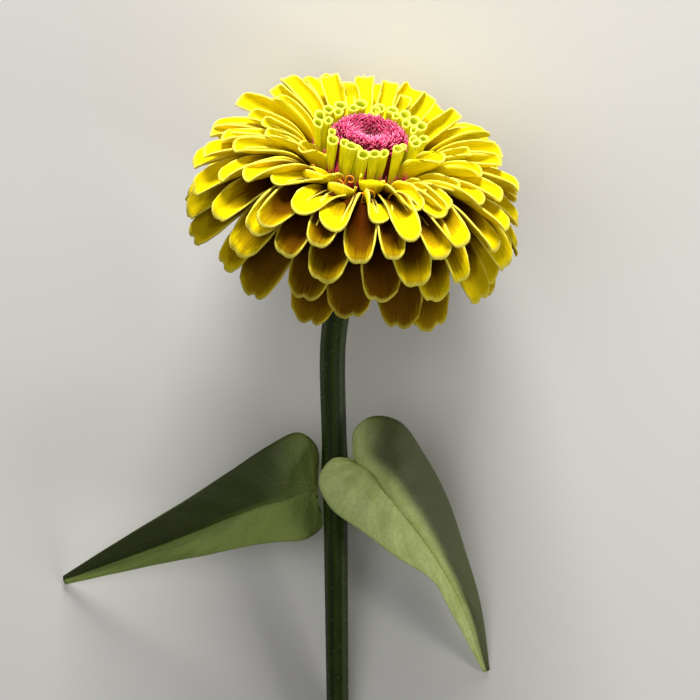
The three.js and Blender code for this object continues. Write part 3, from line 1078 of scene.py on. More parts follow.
@dataclass(frozen=True)
class LeafFinish:
    """Leaves: grey-green with pale ribs, a net of fine veins, a bloom over the upper side and a painted
    shade band along one half.

    Attributes:
        name: the material's name.
        blade: colour of the upper face.
        pale: colour of its paler patches.
        rib: colour of the ribs.
        net: colour of the fine veins.
        bloom: colour of the bloom on the upper side.
        deep: colour of the painted shade band, where the folded blade turns from the light.
        band: places across where that band starts and is full.
        band_along: places along where it starts and is full.
        net_share: how strong the fine veins are.
        ladder_share: how strong the cross veins are.
        bloom_share: how strong the bloom is.
        rib_share: how strong the ribs are.
        band_share: how dark the band is.
    """

    # The defaults are the left leaf's, darker than the right leaf's as painted shade.
    name: str = "leaf_left"
    blade: Colour = (0.20, 0.27, 0.035, 1.0)
    pale: Colour = (0.27, 0.35, 0.05, 1.0)
    rib: Colour = (0.42, 0.46, 0.15, 1.0)
    net: Colour = (0.10, 0.145, 0.015, 1.0)
    bloom: Colour = (0.24, 0.31, 0.08, 1.0)
    deep: Colour = (0.02, 0.028, 0.003, 1.0)
    band: tuple[float, float] = (0.42, 0.6)
    band_along: tuple[float, float] = (0.1, 0.4)
    net_share: float = 0.25
    ladder_share: float = 0.15
    bloom_share: float = 0.7
    rib_share: float = 0.6
    band_share: float = 0.9

    def make(self) -> bpy.types.Material:
        """Builds the material.

        Returns:
            The material.
        """
        graph = Graph(self.name)
        across, along = graph.sheet()
        over = graph.attribute("over")
        place = graph.place()
        mottle = graph.noise(180.0, 3.0, place)
        side = abs(across * 2 - 1)
        rib = 1 - side.step(0.0, 0.05)
        arch = (along * math.pi).sine() ** 0.5
        second = 1 - abs(side - 0.42 * arch).step(0.0, 0.03)
        ribs = rib.most(second * 0.5 * along.step(0.0, 0.15))
        mesh = {"Vector": place, "Scale": 520.0}
        cells = graph.node("ShaderNodeTexVoronoi", {"feature": "DISTANCE_TO_EDGE"}, mesh)
        net = 1 - Value(graph, cells.outputs["Distance"]).step(0.02, 0.14)
        ladder = ((along * 26 + side * -5) * TURN + mottle * 4).wave() ** 10
        colour = graph.blend(mottle.step(0.3, 0.7), self.blade, self.pale)
        colour = graph.blend(net * self.net_share, colour, self.net)
        colour = graph.blend(ladder * self.ladder_share, colour, self.rib)
        colour = graph.blend(over * self.bloom_share, colour, self.bloom)
        colour = graph.blend(ribs * self.rib_share, colour, self.rib)
        # Painted shade: a dark band along one half of the blade, where its fold turns from the light.
        band = (1 - across).step(*self.band) * along.step(*self.band_along)
        colour = graph.blend(band * self.band_share, colour, self.deep)
        return graph.finish(
            colour,
            0.5 + 0.15 * mottle,
            ribs * -2.0 + (1 - net) * 0.3 + ladder * -0.3 + mottle,
            Subsurface_Weight=0.08,
            Subsurface_Radius=(0.5, 1.0, 0.2),
            Subsurface_Scale=0.8 * MM,
            Specular_IOR_Level=0.35,
        )


# The right leaf: the same leaf painted much lighter, as painted light where the lamps fall on it.
RIGHT_LEAF_FINISH = LeafFinish(
    name="leaf_right",
    blade=(0.50, 0.60, 0.19, 1.0),
    pale=(0.62, 0.70, 0.27, 1.0),
    rib=(0.80, 0.82, 0.40, 1.0),
    net=(0.40, 0.45, 0.12, 1.0),
    bloom=(0.50, 0.55, 0.18, 1.0),
    deep=(0.02, 0.03, 0.004, 1.0),
    band=(0.6, 0.76),
    band_along=(0.12, 0.34),
)


@dataclass(frozen=True)
class TableFinish:
    """Pale plain table top with a faint unevenness.

    Attributes:
        colour: its colour.
        shade: colour of its darker patches.
    """

    colour: Colour = (0.72, 0.71, 0.69, 1.0)
    shade: Colour = (0.64, 0.63, 0.61, 1.0)

    def make(self) -> bpy.types.Material:
        """Builds the material.

        Returns:
            The material.
        """
        graph = Graph("table")
        tone = graph.noise(6.0, 3.0, graph.place())
        colour = graph.blend(tone * 0.3, self.colour, self.shade)
        return graph.finish(colour, 0.6)


# The flower's pieces


@dataclass(frozen=True)
class Stage:
    """Sizes of a ray petal at one tier, 0 the lowest and 1 the innermost, in millimetres and degrees.

    Attributes:
        tier: the tier.
        drop: depth of the root below the disc's top.
        length: length from root to tip.
        width: greatest width.
        rise: pitch at the root.
        fall: pitch at the tip.
        claw: bend across it near the root.
        curl: bend across its blade.
        waist: the root's part of the width.
        notch: part of a full notch.
    """

    tier: float
    drop: float
    length: float
    width: float
    rise: float
    fall: float
    claw: float
    curl: float
    waist: float
    notch: float


@dataclass(frozen=True)
class Petal(Stage):
    """One ray petal: its sizes, its place and what chance gives it.

    Attributes:
        azimuth: its place round the axis, in radians.
        lean: how much more one side is bent than the other.
        roll: turn about its mid line, in radians.
        lift: height by which the tip turns up.
        split: where the notch is, across.
        yaw: turn to one side, in radians.
        most: greatest bend of one side, in degrees.
        line: its mid line as distance from the axis and depth, where it isn't a plain arc.
    """

    azimuth: float = 0.0
    lean: float = 0.0
    roll: float = 0.0
    lift: float = 1.2
    split: float = 0.0
    yaw: float = 0.0
    most: float = 140.0
    line: tuple[tuple[float, float], ...] = ()


STAGES = (
    Stage(0, 18.2, 28.6, 10.8, 20, -84, 60, 35, 0.22, 1),
    Stage(0.22, 16.1, 30.9, 10.1, 32, -73, 80, 65, 0.22, 0.7),
    Stage(0.45, 14.0, 30.2, 9.1, 42, -56, 100, 100, 0.24, 0.3),
    Stage(0.68, 12.5, 26.6, 8.0, 51, -34, 140, 140, 0.28, 0.1),
    Stage(0.86, 11.6, 20.4, 7.4, 58, -12, 190, 190, 0.36, 0),
    Stage(1, 11, 14.0, 6.4, 69, 14, 250, 260, 0.5, 0),
)

# Azimuths in degrees of the petals of each tier
TIERS: dict[float, tuple[int, ...]] = {
    0.0: (-11, 84, 150, 185, 222),
    0.04: (-77, 36),
    0.07: (-31, -98, 203),
    0.11: (22, 102, 134),
    0.2: (2, -62, 150, 185, 220),
    0.23: (-42,),
    0.27: (-10, 49, 115),
    0.31: (-68,),
    0.35: (12, 30),
    0.38: (-36,),
    0.42: (-4,),
    0.46: (22, 41, 127),
    0.5: (-67, -46, -19, 150, 220),
    0.54: (7, -34, 130),
    0.57: (-129, -77, 54),
    0.6: (-28, -8, 13, 31, 144),
    0.63: (134,),
    0.65: (39, 64, 154),
    0.68: (-149, -71, -54),
    0.7: (-156, -5, 22, 183),
    0.73: (-88, -81, -17, 167),
    0.75: (-47,),
    0.78: (-75, 10, 70),
    0.81: (-64, -35, 37, 57),
    0.84: (40,),
    0.86: (93, 117, -133),
    0.88: (-4,),
    0.9: (-171, -152, -120, -91, 28),
    0.91: (-57, -25, 54, 76),
    0.93: (131, 154, 176),
    0.95: (-110, -79, 37),
    0.98: (91,),
    1.0: (7, 73),
}

# More petals, which close the gaps between those
FILLERS: dict[float, tuple[int, ...]] = {
    0.04: (118,),
    0.07: (167,),
    0.11: (-122, 68),
    0.2: (84,),
    0.24: (-92, 96, 66),
    0.35: (167, 203),
    0.38: (77, 102, 118, 140, -122),
    0.45: (61,),
    0.5: (87, 185),
    0.63: (98, 172),
    0.74: (84,),
    0.8: (-106,),
    0.84: (103,),
    0.95: (-69,),
    0.98: (-159,),
    1.0: (161,),
}

# Petals that lie or curl in a way of their own, by tier and azimuth
SPECIAL: dict[tuple[float, int], dict[str, object]] = {
    (1.0, 7): {
        "azimuth": math.radians(7),
        "line": (
            (10.9, 11.4), (11.5, 9.4), (12.8, 7.9), (14.8, 7.2),
            (16.6, 6.2), (17.2, 4.4), (16.2, 2.9), (14.8, 2.9),
        ),
        "width": 10.4,
        "curl": 225,
        "lean": 0.0,
        "most": 200,
        "roll": -0.15,
        "waist": 0.1,
    },
    (0.88, -4): {
        "azimuth": math.radians(-12),
        "line": (
            (10.9, 13.0), (11.9, 11.0), (13.8, 9.6), (16.2, 9.0),
            (18.2, 8.2), (18.9, 6.6), (18.8, 4.8),
        ),
        "width": 10.4,
        "curl": 205,
        "lean": 0.0,
        "roll": 0.0,
        "waist": 0.1,
    },
    (0.91, -25): {
        "azimuth": math.radians(-23),
        "yaw": math.radians(-22),
        "line": (
            (10.9, 12.0), (11.4, 10.2), (12.8, 8.2), (15.2, 7.2),
            (17.6, 6.8), (18.8, 5.8), (19.0, 4.4),
        ),
        "width": 9.0,
        "curl": 150,
        "lean": 0.1,
        "roll": 0.1,
        "waist": 0.2,
    },
    (0.73, -17): {
        "line": (
            (10.5, 19.8), (13.6, 11.6), (18.4, 8.4), (23.2, 6.5),
            (28.2, 6.0), (32.8, 7.3),
        ),
        "curl": 90,
    },
    (0.81, -35): {
        "line": (
            (10.6, 12.9), (13.4, 10.1), (16.9, 7.6), (20.9, 6.0),
            (25.0, 5.3), (29.1, 5.9),
        ),
        "curl": 110,
    },
    (0.54, 7): {"azimuth": math.radians(5.5), "width": 7.8, "drop": 12.7},
    (0.6, 13): {"azimuth": math.radians(16.5), "width": 7.2},
    (0.2, 84): {"length": 27.5},
    (0.24, 66): {"length": 28.0},
    (0.11, 68): {"length": 28.0},
    (0.38, 77): {"length": 27.6},
    (0.38, 102): {"length": 27.6},
    (0.5, 87): {"length": 26.4},
    (0.63, 98): {"length": 24.6},
    (0.9, 28): {"drop": 11.4, "length": 18.5, "width": 8.0, "rise": 60, "fall": -20, "curl": 190},
    (0.7, -5): {
        "line": (
            (10.5, 19.6), (13.2, 12.6), (17.5, 9.2), (22.0, 7.0),
            (27.0, 6.2), (31.0, 7.0), (33.8, 8.2),
        ),
        "curl": 130,
        "lean": 0.7,
        "width": 9.0,
    },
    (0.78, 10): {
        "line": (
            (10.6, 20.0), (13.4, 11.6), (17.4, 8.4), (21.7, 6.2),
            (26.1, 5.6), (30.4, 6.6),
        ),
        "curl": 150,
        "lean": -0.7,
        "width": 8.0,
    },
    (0.91, -57): {
        "azimuth": math.radians(-58),
        "line": (
            (10.6, 16.0), (10.9, 12.0), (11.6, 9.1), (13.0, 6.9),
            (14.8, 5.3), (17.0, 4.1),
        ),
        "width": 10.0,
        "curl": 250,
        "lean": 0.2,
    },
    (1.0, 73): {
        "azimuth": math.radians(66),
        "line": (
            (10.6, 14.0), (11.2, 9.2), (12.2, 6.4), (13.8, 4.4),
            (15.8, 2.8), (18.4, 1.4),
        ),
        "width": 11.5,
        "curl": 210,
        "lean": -0.2,
    },
}


@dataclass
class RayPetals:
    """The ray petals and the receptacle that they grow from.

    Attributes:
        thickness: thickness of a petal.
        root_radius: distance of the roots from the axis.
        columns: faces across a petal.
        rows: faces along it.
        front_shorter: how much shorter the inner petals in front are.
        back_longer: how much longer the upper petals at the back are.
        front_droop: how much lower the tips in front point, in degrees.
        back_lift: how much higher the tips at the back point, in degrees.
        back_rise: how much steeper the roots at the back are, in degrees.
        width_spread: range of the widths.
        lean_spread: range of the leans.
        roll_spread: range of the rolls, in degrees.
        lift: height by which a tip turns up.
        lift_spread: range of the lifts.
        split_spread: range of the places of the notch.
        yaw_spread: range of the yaws, in degrees.
        tip_power: power of the curve that rounds the tip.
        tip_length: length of the rounded tip, in widths.
        notch_depth: depth of a full notch, as a share of the length.
        notch_widths: widths of the notch and of the smaller one beside it.
        line_steps: points of a mid line that isn't a plain arc.
        wave: height of the waves of its edges.
        channel: depth of the two channels along it.
        crumple: height of the small dents all over.
        core_sides: faces round the receptacle.
        core_rings: faces along the receptacle.
        core_depths: depths of the receptacle's ends below the disc's top.
        core_radii: its radii at the foot, below the middle and at the top.
        tweaks: changes to single petals, by tier and azimuth in degrees.
    """

    thickness: float = 0.36
    root_radius: float = 9.8
    columns: int = 14
    rows: int = 20
    front_shorter: float = 0.32
    back_longer: float = 0.04
    front_droop: float = 14
    back_lift: float = 12
    back_rise: float = 4
    width_spread: float = 0.14
    lean_spread: float = 0.9
    roll_spread: float = 16
    lift: float = 1.2
    lift_spread: float = 0.8
    split_spread: float = 0.8
    yaw_spread: float = 6
    tip_power: float = 2.2
    tip_length: float = 0.56
    notch_depth: float = 0.038
    notch_widths: tuple[float, float] = (0.16, 0.13)
    line_steps: int = 80
    wave: float = 0.32
    channel: float = 0.10
    crumple: float = 0.10
    core_sides: int = 40
    core_rings: int = 14
    core_depths: tuple[float, float] = (20, 9.7)
    core_radii: tuple[float, float, float] = (10.8, 11.5, 11.0)
    tweaks: dict[tuple[float, int], dict[str, object]] = field(default_factory=dict)

    def petal_at(self, tier: float, degrees: int) -> Petal:
        """Works out one petal.

        Args:
            tier: its tier.
            degrees: its azimuth.

        Returns:
            The petal.
        """
        upper_stage = max(1, next(k for k, stage in enumerate(STAGES) if tier <= stage.tier))
        low, high = STAGES[upper_stage - 1], STAGES[upper_stage]
        share = (tier - low.tier) / (high.tier - low.tier)
        sizes = {f.name: mix(getattr(low, f.name), getattr(high, f.name), share) for f in fields(Stage)}
        azimuth = math.radians(degrees)
        front = max(0.0, math.cos(azimuth)) ** 2
        back = max(0.0, -math.cos(azimuth))
        upper = float(smooth(tier, 0.5, 0.85))
        inner = float(smooth(tier, 0.72, 1.0))
        sizes["length"] *= (1 - self.front_shorter * front * inner) * (1 + self.back_longer * back * upper)
        sizes["fall"] += self.back_lift * back * upper - self.front_droop * front * inner
        sizes["rise"] += self.back_rise * back * upper * (1 - float(smooth(tier, 0.8, 1.0)))
        seed = degrees + TIER_SEED * tier
        sizes["width"] *= 1 + spread(seed, PetalTrait.WIDTH, self.width_spread)
        petal = Petal(
            **sizes,
            azimuth=azimuth,
            lean=spread(seed, PetalTrait.LEAN, self.lean_spread),
            roll=math.radians(spread(seed, PetalTrait.ROLL, self.roll_spread)),
            lift=self.lift + spread(seed, PetalTrait.LIFT, self.lift_spread),
            split=spread(seed, PetalTrait.SPLIT, self.split_spread),
            yaw=math.radians(spread(seed, PetalTrait.YAW, self.yaw_spread)),
        )
        return replace(petal, **self.tweaks.get((tier, degrees), {}))

    def mid_line(self, petal: Petal, along: np.ndarray) -> tuple[np.ndarray, np.ndarray, np.ndarray]:
        """Follows a petal's mid line: an arc from its rise to its fall, or the line that it is given.

        Args:
            petal: its sizes and place.
            along: places from root, 0, to tip, 1.

        Returns:
            Distances from the axis, heights over the neck and pitches in radians.
        """
        if petal.line:
            points = [(radius, HEAD.disc_height - depth, 0) for radius, depth in petal.line]
            path = Line(np.array(points)).evenly(self.line_steps)
            ways = np.gradient(path, axis=0)
            pitches = np.unwrap(np.arctan2(ways[:, 1], ways[:, 0]))
            steps = np.linspace(0, 1, len(path))
            return tuple(np.interp(along, steps, values) for values in (path[:, 0], path[:, 1], pitches))
        start = math.radians(petal.rise)
        turn = math.radians(petal.fall) - start
        pitch = start + turn * along
        outward = petal.length * (np.sin(pitch) - math.sin(start)) / turn
        upwards = petal.length * (math.cos(start) - np.cos(pitch)) / turn
        return self.root_radius + petal.tier + outward, HEAD.disc_height - petal.drop + upwards, pitch

    def mid_surface(self, petal: Petal, along: np.ndarray, across: np.ndarray) -> np.ndarray:
        """Shapes a petal.

        Args:
            petal: its sizes and place.
            along: places from root, 0, to tip, 1.
            across: places from one edge, -1, to the other, 1.

        Returns:
            The points of its mid surface.
        """
        seed = petal.azimuth * 57.3 + TIER_SEED * petal.tier
        edge = np.abs(across)
        corner = 1 - np.maximum(1 - edge**self.tip_power, 0) ** (1 / self.tip_power)
        wide, narrow = self.notch_widths
        notch = np.exp(-(((across - petal.split) / wide) ** 2))
        beside = across + 0.7 * np.sign(petal.split) - 0.3 * petal.split
        small = 0.5 * np.exp(-((beside / narrow) ** 2))
        cut_back = self.tip_length * petal.width / petal.length * corner
        cut_back = cut_back + petal.notch * self.notch_depth * (notch + small)
        u = along - cut_back * along**5

        radius, height, pitch = self.mid_line(petal, u)
        waist = mix(petal.waist, 1, smooth(u, 0, 0.62))
        half = 0.5 * petal.width * waist * (1 - 0.1 * smooth(u, 0.75, 1))
        claw = mix(20, petal.claw, smooth(u, 0, 0.25))
        curl = mix(claw, petal.curl, smooth(u, 0.2, 0.65)) * (1 - 0.08 * smooth(u, 0.7, 1))
        bend = np.radians(np.minimum(0.5 * curl * (1 + np.sign(across) * petal.lean), petal.most))
        turned = bend * edge
        sideways = np.sign(across) * half / bend * np.sin(turned)
        raised = half / bend * (1 - np.cos(turned)) + petal.lift * smooth(u, 0.72, 1) ** 2
        raised += self.relief(seed, u, across) * (1 - 0.8 * petal.tier)
        roll = petal.roll * smooth(u, 0, 0.8)
        x = sideways * np.cos(roll) - raised * np.sin(roll)
        x += (radius - self.root_radius - petal.tier) * math.tan(petal.yaw)
        z = sideways * np.sin(roll) + raised * np.cos(roll)

        radius = radius - np.sin(pitch) * z
        height = height + np.cos(pitch) * z
        return pressed(HEAD.beside(petal.azimuth, radius, x, height))

    def relief(self, seed: float, along: np.ndarray, across: np.ndarray) -> np.ndarray:
        """Waves a petal's edges and presses two shallow channels along it.

        Args:
            seed: the petal's number.
            along: places along it.
            across: places across it.

        Returns:
            How far each point is raised, in millimetres.
        """
        blade = smooth(along, 0.25, 0.7)
        right_turns = 1.6 + draw(seed, PetalTrait.RIGHT_WAVES)
        left_turns = 1.4 + draw(seed, PetalTrait.LEFT_WAVES)
        turns = np.where(across > 0, right_turns, left_turns)
        right_phase = draw(seed, PetalTrait.RIGHT_PHASE)
        left_phase = draw(seed, PetalTrait.LEFT_PHASE)
        phase = np.where(across > 0, right_phase, left_phase) * TURN
        wave = self.wave * np.abs(across) ** 3 * np.sin(TURN * turns * along + phase)
        channels = self.channel * np.cos(3 * math.pi * across)
        second_phase = 6 * draw(seed, PetalTrait.CRUMPLE)
        dents = np.sin(7 * across + 9 * along + phase) * np.sin(11 * along + second_phase)
        return blade * (wave + channels + self.crumple * dents)

    def build(self, finish_with: bpy.types.Material) -> bpy.types.Object:
        """Models all petals as one piece.

        Args:
            finish_with: the petals' material.

        Returns:
            The piece.
        """
        blank = new_sheet(self.columns, self.rows)
        along, across = sheet_places(blank)
        petals = []
        for tier, azimuths in (*TIERS.items(), *FILLERS.items()):
            for degrees in azimuths:
                petal = self.petal_at(tier, degrees)
                piece = copy_shaped(blank, "petal", self.mid_surface(petal, along, across))
                tag(piece, "tier", tier)
                tag(piece, "chance", draw(degrees + TIER_SEED * tier, PetalTrait.SHADE))
                # How much the petal faces front, which the material darkens as painted shade.
                tag(piece, "front", max(0.0, math.cos(math.radians(degrees))) ** 2)
                petals.append(piece)
        remove(blank)
        whole = unite(petals, "ray_petals")
        thicken(whole, self.thickness)
        return finish(whole, finish_with, "ray_florets")

    def build_receptacle(self, finish_with: bpy.types.Material) -> bpy.types.Object:
        """Models the solid middle of the head, which the petals hide.

        Args:
            finish_with: its material.

        Returns:
            The piece.
        """
        blank = new_bud(self.core_sides, self.core_rings)
        along, angle, rim = bud_places(blank, self.core_rings)
        depth = mix(*self.core_depths, along)
        radius = rim * np.interp(along, [0, 0.45, 1], self.core_radii)
        radius = radius - rim * 0.15 * np.cos(13 * angle + 20 * along)
        core = copy_shaped(blank, "receptacle", HEAD.around(angle, radius, depth))
        tag(core, "chance", 0.3)
        remove(blank)
        return finish(core, finish_with)


@dataclass(frozen=True)
class QuillRing:
    """One ring of rolled florets.

    Attributes:
        foot: distance of the feet from the axis.
        foot_girth: radius at the foot.
        top_girth: radius at the mouth.
        places: azimuth, distance of the mouth from the axis and its depth below the disc's top.
    """

    foot: float
    foot_girth: float
    top_girth: float
    places: tuple[tuple[float, float, float], ...]


INNER_RING = QuillRing(foot=8.75, foot_girth=0.45, top_girth=0.75, places=(
    (-60, 9.3, -1.0), (-31, 9.4, -0.6), (-11, 9.2, -0.3), (22, 9.3, -0.2), (50, 9.2, -0.9),
    (80, 9.2, -1.2), (108, 9.4, -1.3), (127, 8.9, -1.2), (150, 9.2, -1.3), (178, 9.2, -1.2),
    (-150, 9.2, -1.2), (-122, 9.2, -1.2), (-90, 9.2, -1.2),
))
OUTER_RING = QuillRing(foot=9.9, foot_girth=0.55, top_girth=1.05, places=(
    (-42, 11.0, -0.8), (-19, 10.7, -1.0), (-3, 11.0, -0.1), (10, 10.9, -0.6), (36, 10.4, -1.7),
    (68, 10.6, -1.5), (92, 11.4, -0.7), (115, 11.6, -1.6), (130, 11.2, -1.6), (146, 11.6, -1.4),
    (160, 11.0, -1.2), (176, 10.4, -1.3), (-162, 10.8, -1.4), (-137, 10.8, -1.2), (-116, 10.8, -1.2),
    (-98, 11.5, -1.2), (-77, 11.6, -1.3),
))


@dataclass
class Quills:
    """Rolled florets round the disc.

    Attributes:
        rings: the rings.
        foot_depth: depth of the feet.
        wall: thickness of the wall.
        columns: faces round.
        rows: faces along.
        closing: half of the least angle that the wall is rolled through, in degrees.
        closing_more: how much more chance may add to it.
        seam_spread: range of the seams' places, in degrees.
        girth_spread: range of the radii.
        bow: how far a quill bows out at most.
        sway: how far its mouth sways at most.
    """

    rings: tuple[QuillRing, ...] = (INNER_RING, OUTER_RING)
    foot_depth: float = 9.0
    wall: float = 0.26
    columns: int = 18
    rows: int = 9
    closing: float = 178
    closing_more: float = 26
    seam_spread: float = 150
    girth_spread: float = 0.3
    bow: float = 0.35
    sway: float = 0.3

    def surface(
        self,
        seed: int,
        ring: QuillRing,
        place: tuple[float, float, float],
        along: np.ndarray,
        across: np.ndarray,
    ) -> np.ndarray:
        """Rolls one quill.

        Args:
            seed: its number.
            ring: its ring.
            place: its azimuth, and the distance and depth of its mouth.
            along: places along it.
            across: places round it.

        Returns:
            The points of its wall.
        """
        degrees, top, depth = place
        azimuth = math.radians(degrees)
        closing = math.radians(self.closing + self.closing_more * draw(seed, QuillTrait.CLOSING))
        turn = closing * across + math.radians(spread(seed, QuillTrait.SEAM, self.seam_spread))
        slant = (0.02 + 0.035 * draw(seed, QuillTrait.CUT)) * (1 + np.cos(turn + azimuth))
        reach = along * (1 - slant - 0.03 * np.abs(across) ** 6)
        radius = mix(ring.foot_girth, ring.top_girth, smooth(reach, 0, 0.85)) + 0.16 * smooth(reach, 0.88, 1)
        radius = radius * (1 + 0.12 * across + 0.05 * np.cos(2 * turn + seed))
        radius = radius * (1 + spread(seed, QuillTrait.GIRTH, self.girth_spread))
        bow = self.bow * np.sin(math.pi * reach) * spread(seed, QuillTrait.BOW, 2)
        distance = mix(ring.foot, top, reach) + bow
        radial = distance + 0.85 * radius * np.cos(turn)
        sideways = radius * np.sin(turn) + self.sway * spread(seed, QuillTrait.SWAY, 2) * reach**2
        height = HEAD.disc_height - mix(self.foot_depth, depth, reach)
        return HEAD.beside(azimuth, radial, sideways, height)

    def build(self, finish_with: bpy.types.Material) -> bpy.types.Object:
        """Models all quills as one piece.

        Args:
            finish_with: their material.

        Returns:
            The piece.
        """
        blank = new_sheet(self.columns, self.rows)
        along, across = sheet_places(blank)
        quills = []
        for row, ring in enumerate(self.rings):
            for k, place in enumerate(ring.places):
                seed = 100 * (row + 1) + k
                piece = copy_shaped(blank, "quill", self.surface(seed, ring, place, along, across))
                tag(piece, "chance", draw(seed, QuillTrait.SHADE))
                quills.append(piece)
        remove(blank)
        whole = unite(quills, "quills")
        thicken(whole, self.wall)
        return finish(whole, finish_with, "quill_florets")


@dataclass
class Disc:
    """The pink middle: a low bed with a pit, covered by strands that bend inwards.

    Attributes:
        profile_radius: distances from the axis of the bed's profile.
        profile_depth: its depths below the disc's top.
        strands: number of strands.
        reach: distance of the outermost from the axis.
        sides: sides of a strand.
        rings: faces along it.
        lengths: places from the axis, 0 to 1, and a strand's length there.
        bows: places from the axis, and how far a strand bows inwards there, as a share of its length.
        wall: share of the bed's outline that its side takes.
        foot_depth: depth of the bed's foot.
        top_depth: depth of the top of its side.
        bed_sides: faces round the bed.
        bed_rings: faces along the bed.
        girth: least radius of a strand's foot.
        girth_more: how much more chance may add to it.
    """

    profile_radius: tuple[float, ...] = (0, 1.8, 3.6, 5.2, 6.7, 7.2)
    profile_depth: tuple[float, ...] = (2.8, 2.0, 0.8, 0.0, 0.2, 1.6)
    strands: int = 1100
    reach: float = 7.9
    sides: int = 4
    rings: int = 6
    lengths: Curve = ((0, 0.2, 0.45, 1), (0.7, 1.0, 1.7, 1.6))
    bows: Curve = ((0, 0.3, 0.6, 1), (0.1, 0.55, 0.4, 0.15))
    wall: float = 0.2
    foot_depth: float = 9.2
    top_depth: float = 2.8
    bed_sides: int = 40
    bed_rings: int = 24
    girth: float = 0.13
    girth_more: float = 0.05

    def bed_depth(self, radius: np.ndarray | float) -> np.ndarray:
        """Gives the bed's depth at distances from the axis."""
        return np.interp(radius, self.profile_radius, self.profile_depth)

    def build_bed(self, finish_with: bpy.types.Material) -> bpy.types.Object:
        """Models the bed.

        Args:
            finish_with: its material.

        Returns:
            The piece.
        """
        blank = new_bud(self.bed_sides, self.bed_rings)
        along, angle, rim = bud_places(blank, self.bed_rings)
        out = np.clip(1.25 * (1 - along), 0, 1)
        edge = rim * self.profile_radius[-1]
        radius = np.where(along < self.wall, edge, edge * out)
        side = mix(self.foot_depth, self.top_depth, along / self.wall)
        depth = np.where(along < self.wall, side, self.bed_depth(radius) + 0.15)
        bed = copy_shaped(blank, "disc_bed", HEAD.around(angle, radius, depth))
        tag(bed, "along", 0.25)
        tag(bed, "chance", 0.5)
        tag(bed, "reach", radius / self.reach)
        remove(blank)
        return finish(bed, finish_with, "disc_florets")

    def build_strands(self, finish_with: bpy.types.Material) -> bpy.types.Object:
        """Models the strands as one piece.

        Args:
            finish_with: their material.

        Returns:
            The piece.
        """
        blank = new_bud(self.sides, self.rings)
        along, angle, rim = bud_places(blank, self.rings)
        steps = np.linspace(0, 1, 7)
        pieces = []
        for k in range(self.strands):
            distance = self.reach * math.sqrt((k + 0.5) / self.strands)
            share = distance / self.reach
            twist = spread(k, StrandTrait.TWIST, 0.4)
            azimuth = math.radians(k * GOLDEN_ANGLE) + steps**2 * twist / (0.4 + share)
            length = float(np.interp(share, *self.lengths)) * (1 + spread(k, StrandTrait.LENGTH, 0.5))
            out = 0.8 * share**3 * length
            bow = float(np.interp(share, *self.bows)) * length * (1 + spread(k, StrandTrait.BOW, 0.7))
            radial = distance + out * steps - bow * steps**2
            lift = length * (steps - (0.16 + 0.5 * share**6) * steps**2)
            path = HEAD.around(azimuth, radial, float(self.bed_depth(distance)) + 0.35 - lift)
            girth = self.girth + self.girth_more * draw(k, StrandTrait.GIRTH)
            girth = girth * (1 - 0.6 * along) * rim
            piece = copy_shaped(blank, "strand", tube_points(path, along, angle, girth))
            tag(piece, "along", along)
            tag(piece, "chance", draw(k, StrandTrait.SHADE))
            tag(piece, "reach", share)
            pieces.append(piece)
        remove(blank)
        return finish(unite(pieces, "disc_strands"), finish_with)


@dataclass
class Chaff:
    """Pink slivers that stand between the quills' feet and the innermost petals.

    Attributes:
        count: how many.
        sides: sides of a sliver.
        rings: faces along it.
        inner: least distance of their feet from the axis.
        band: width of the ring that they stand in.
        foot_depth: depth of their feet.
        top_depth: least depth of their tips, and its range.
        girth: least radius of a sliver.
        girth_more: how much more chance may add to it.
    """

    count: int = 340
    sides: int = 5
    rings: int = 7
    inner: float = 9.6
    band: float = 2.6
    foot_depth: float = 9.6
    top_depth: float = 3.6
    girth: float = 0.14
    girth_more: float = 0.1

    def build(self, finish_with: bpy.types.Material) -> bpy.types.Object:
        """Models the slivers as one piece.

        Args:
            finish_with: their material.

        Returns:
            The piece.
        """
        blank = new_bud(self.sides, self.rings)
        along, angle, rim = bud_places(blank, self.rings)
        steps = np.linspace(0, 1, 6)
        pieces = []
        for k in range(self.count):
            azimuth = math.radians(k * GOLDEN_ANGLE) + steps * spread(k, SliverTrait.TWIST, 0.12)
            start = self.inner + self.band * draw(k, SliverTrait.FOOT)
            radial = start + steps * spread(k, SliverTrait.LEAN, 1.6)
            top = self.top_depth + self.top_depth * draw(k, SliverTrait.TOP)
            top = top + 0.5 * (start - self.inner)
            path = HEAD.around(azimuth, radial, mix(self.foot_depth, top, steps))
            girth = self.girth + self.girth_more * draw(k, SliverTrait.GIRTH)
            girth = girth * np.sin(math.pi * mix(0.25, 0.97, along)) * rim
            piece = copy_shaped(blank, "sliver", tube_points(path, along, angle, girth))
            tag(piece, "along", 0.28 + 0.42 * along)
            tag(piece, "chance", draw(k, SliverTrait.SHADE))
            tag(piece, "reach", 1.0)
            pieces.append(piece)
        remove(blank)
        return finish(unite(pieces, "chaff"), finish_with)


@dataclass(frozen=True)
class StylePlace:
    """One curled style.

    Attributes:
        azimuth: its place, in degrees.
        radius: its distance from the axis.
        depth: depth of its curl below the disc's top.
        turn: how far it curls, in degrees.
        size: radius of the curl.
        face: turn of the curl's plane round the style, in degrees.
    """

    azimuth: float
    radius: float
    depth: float
    turn: float
    size: float
    face: float


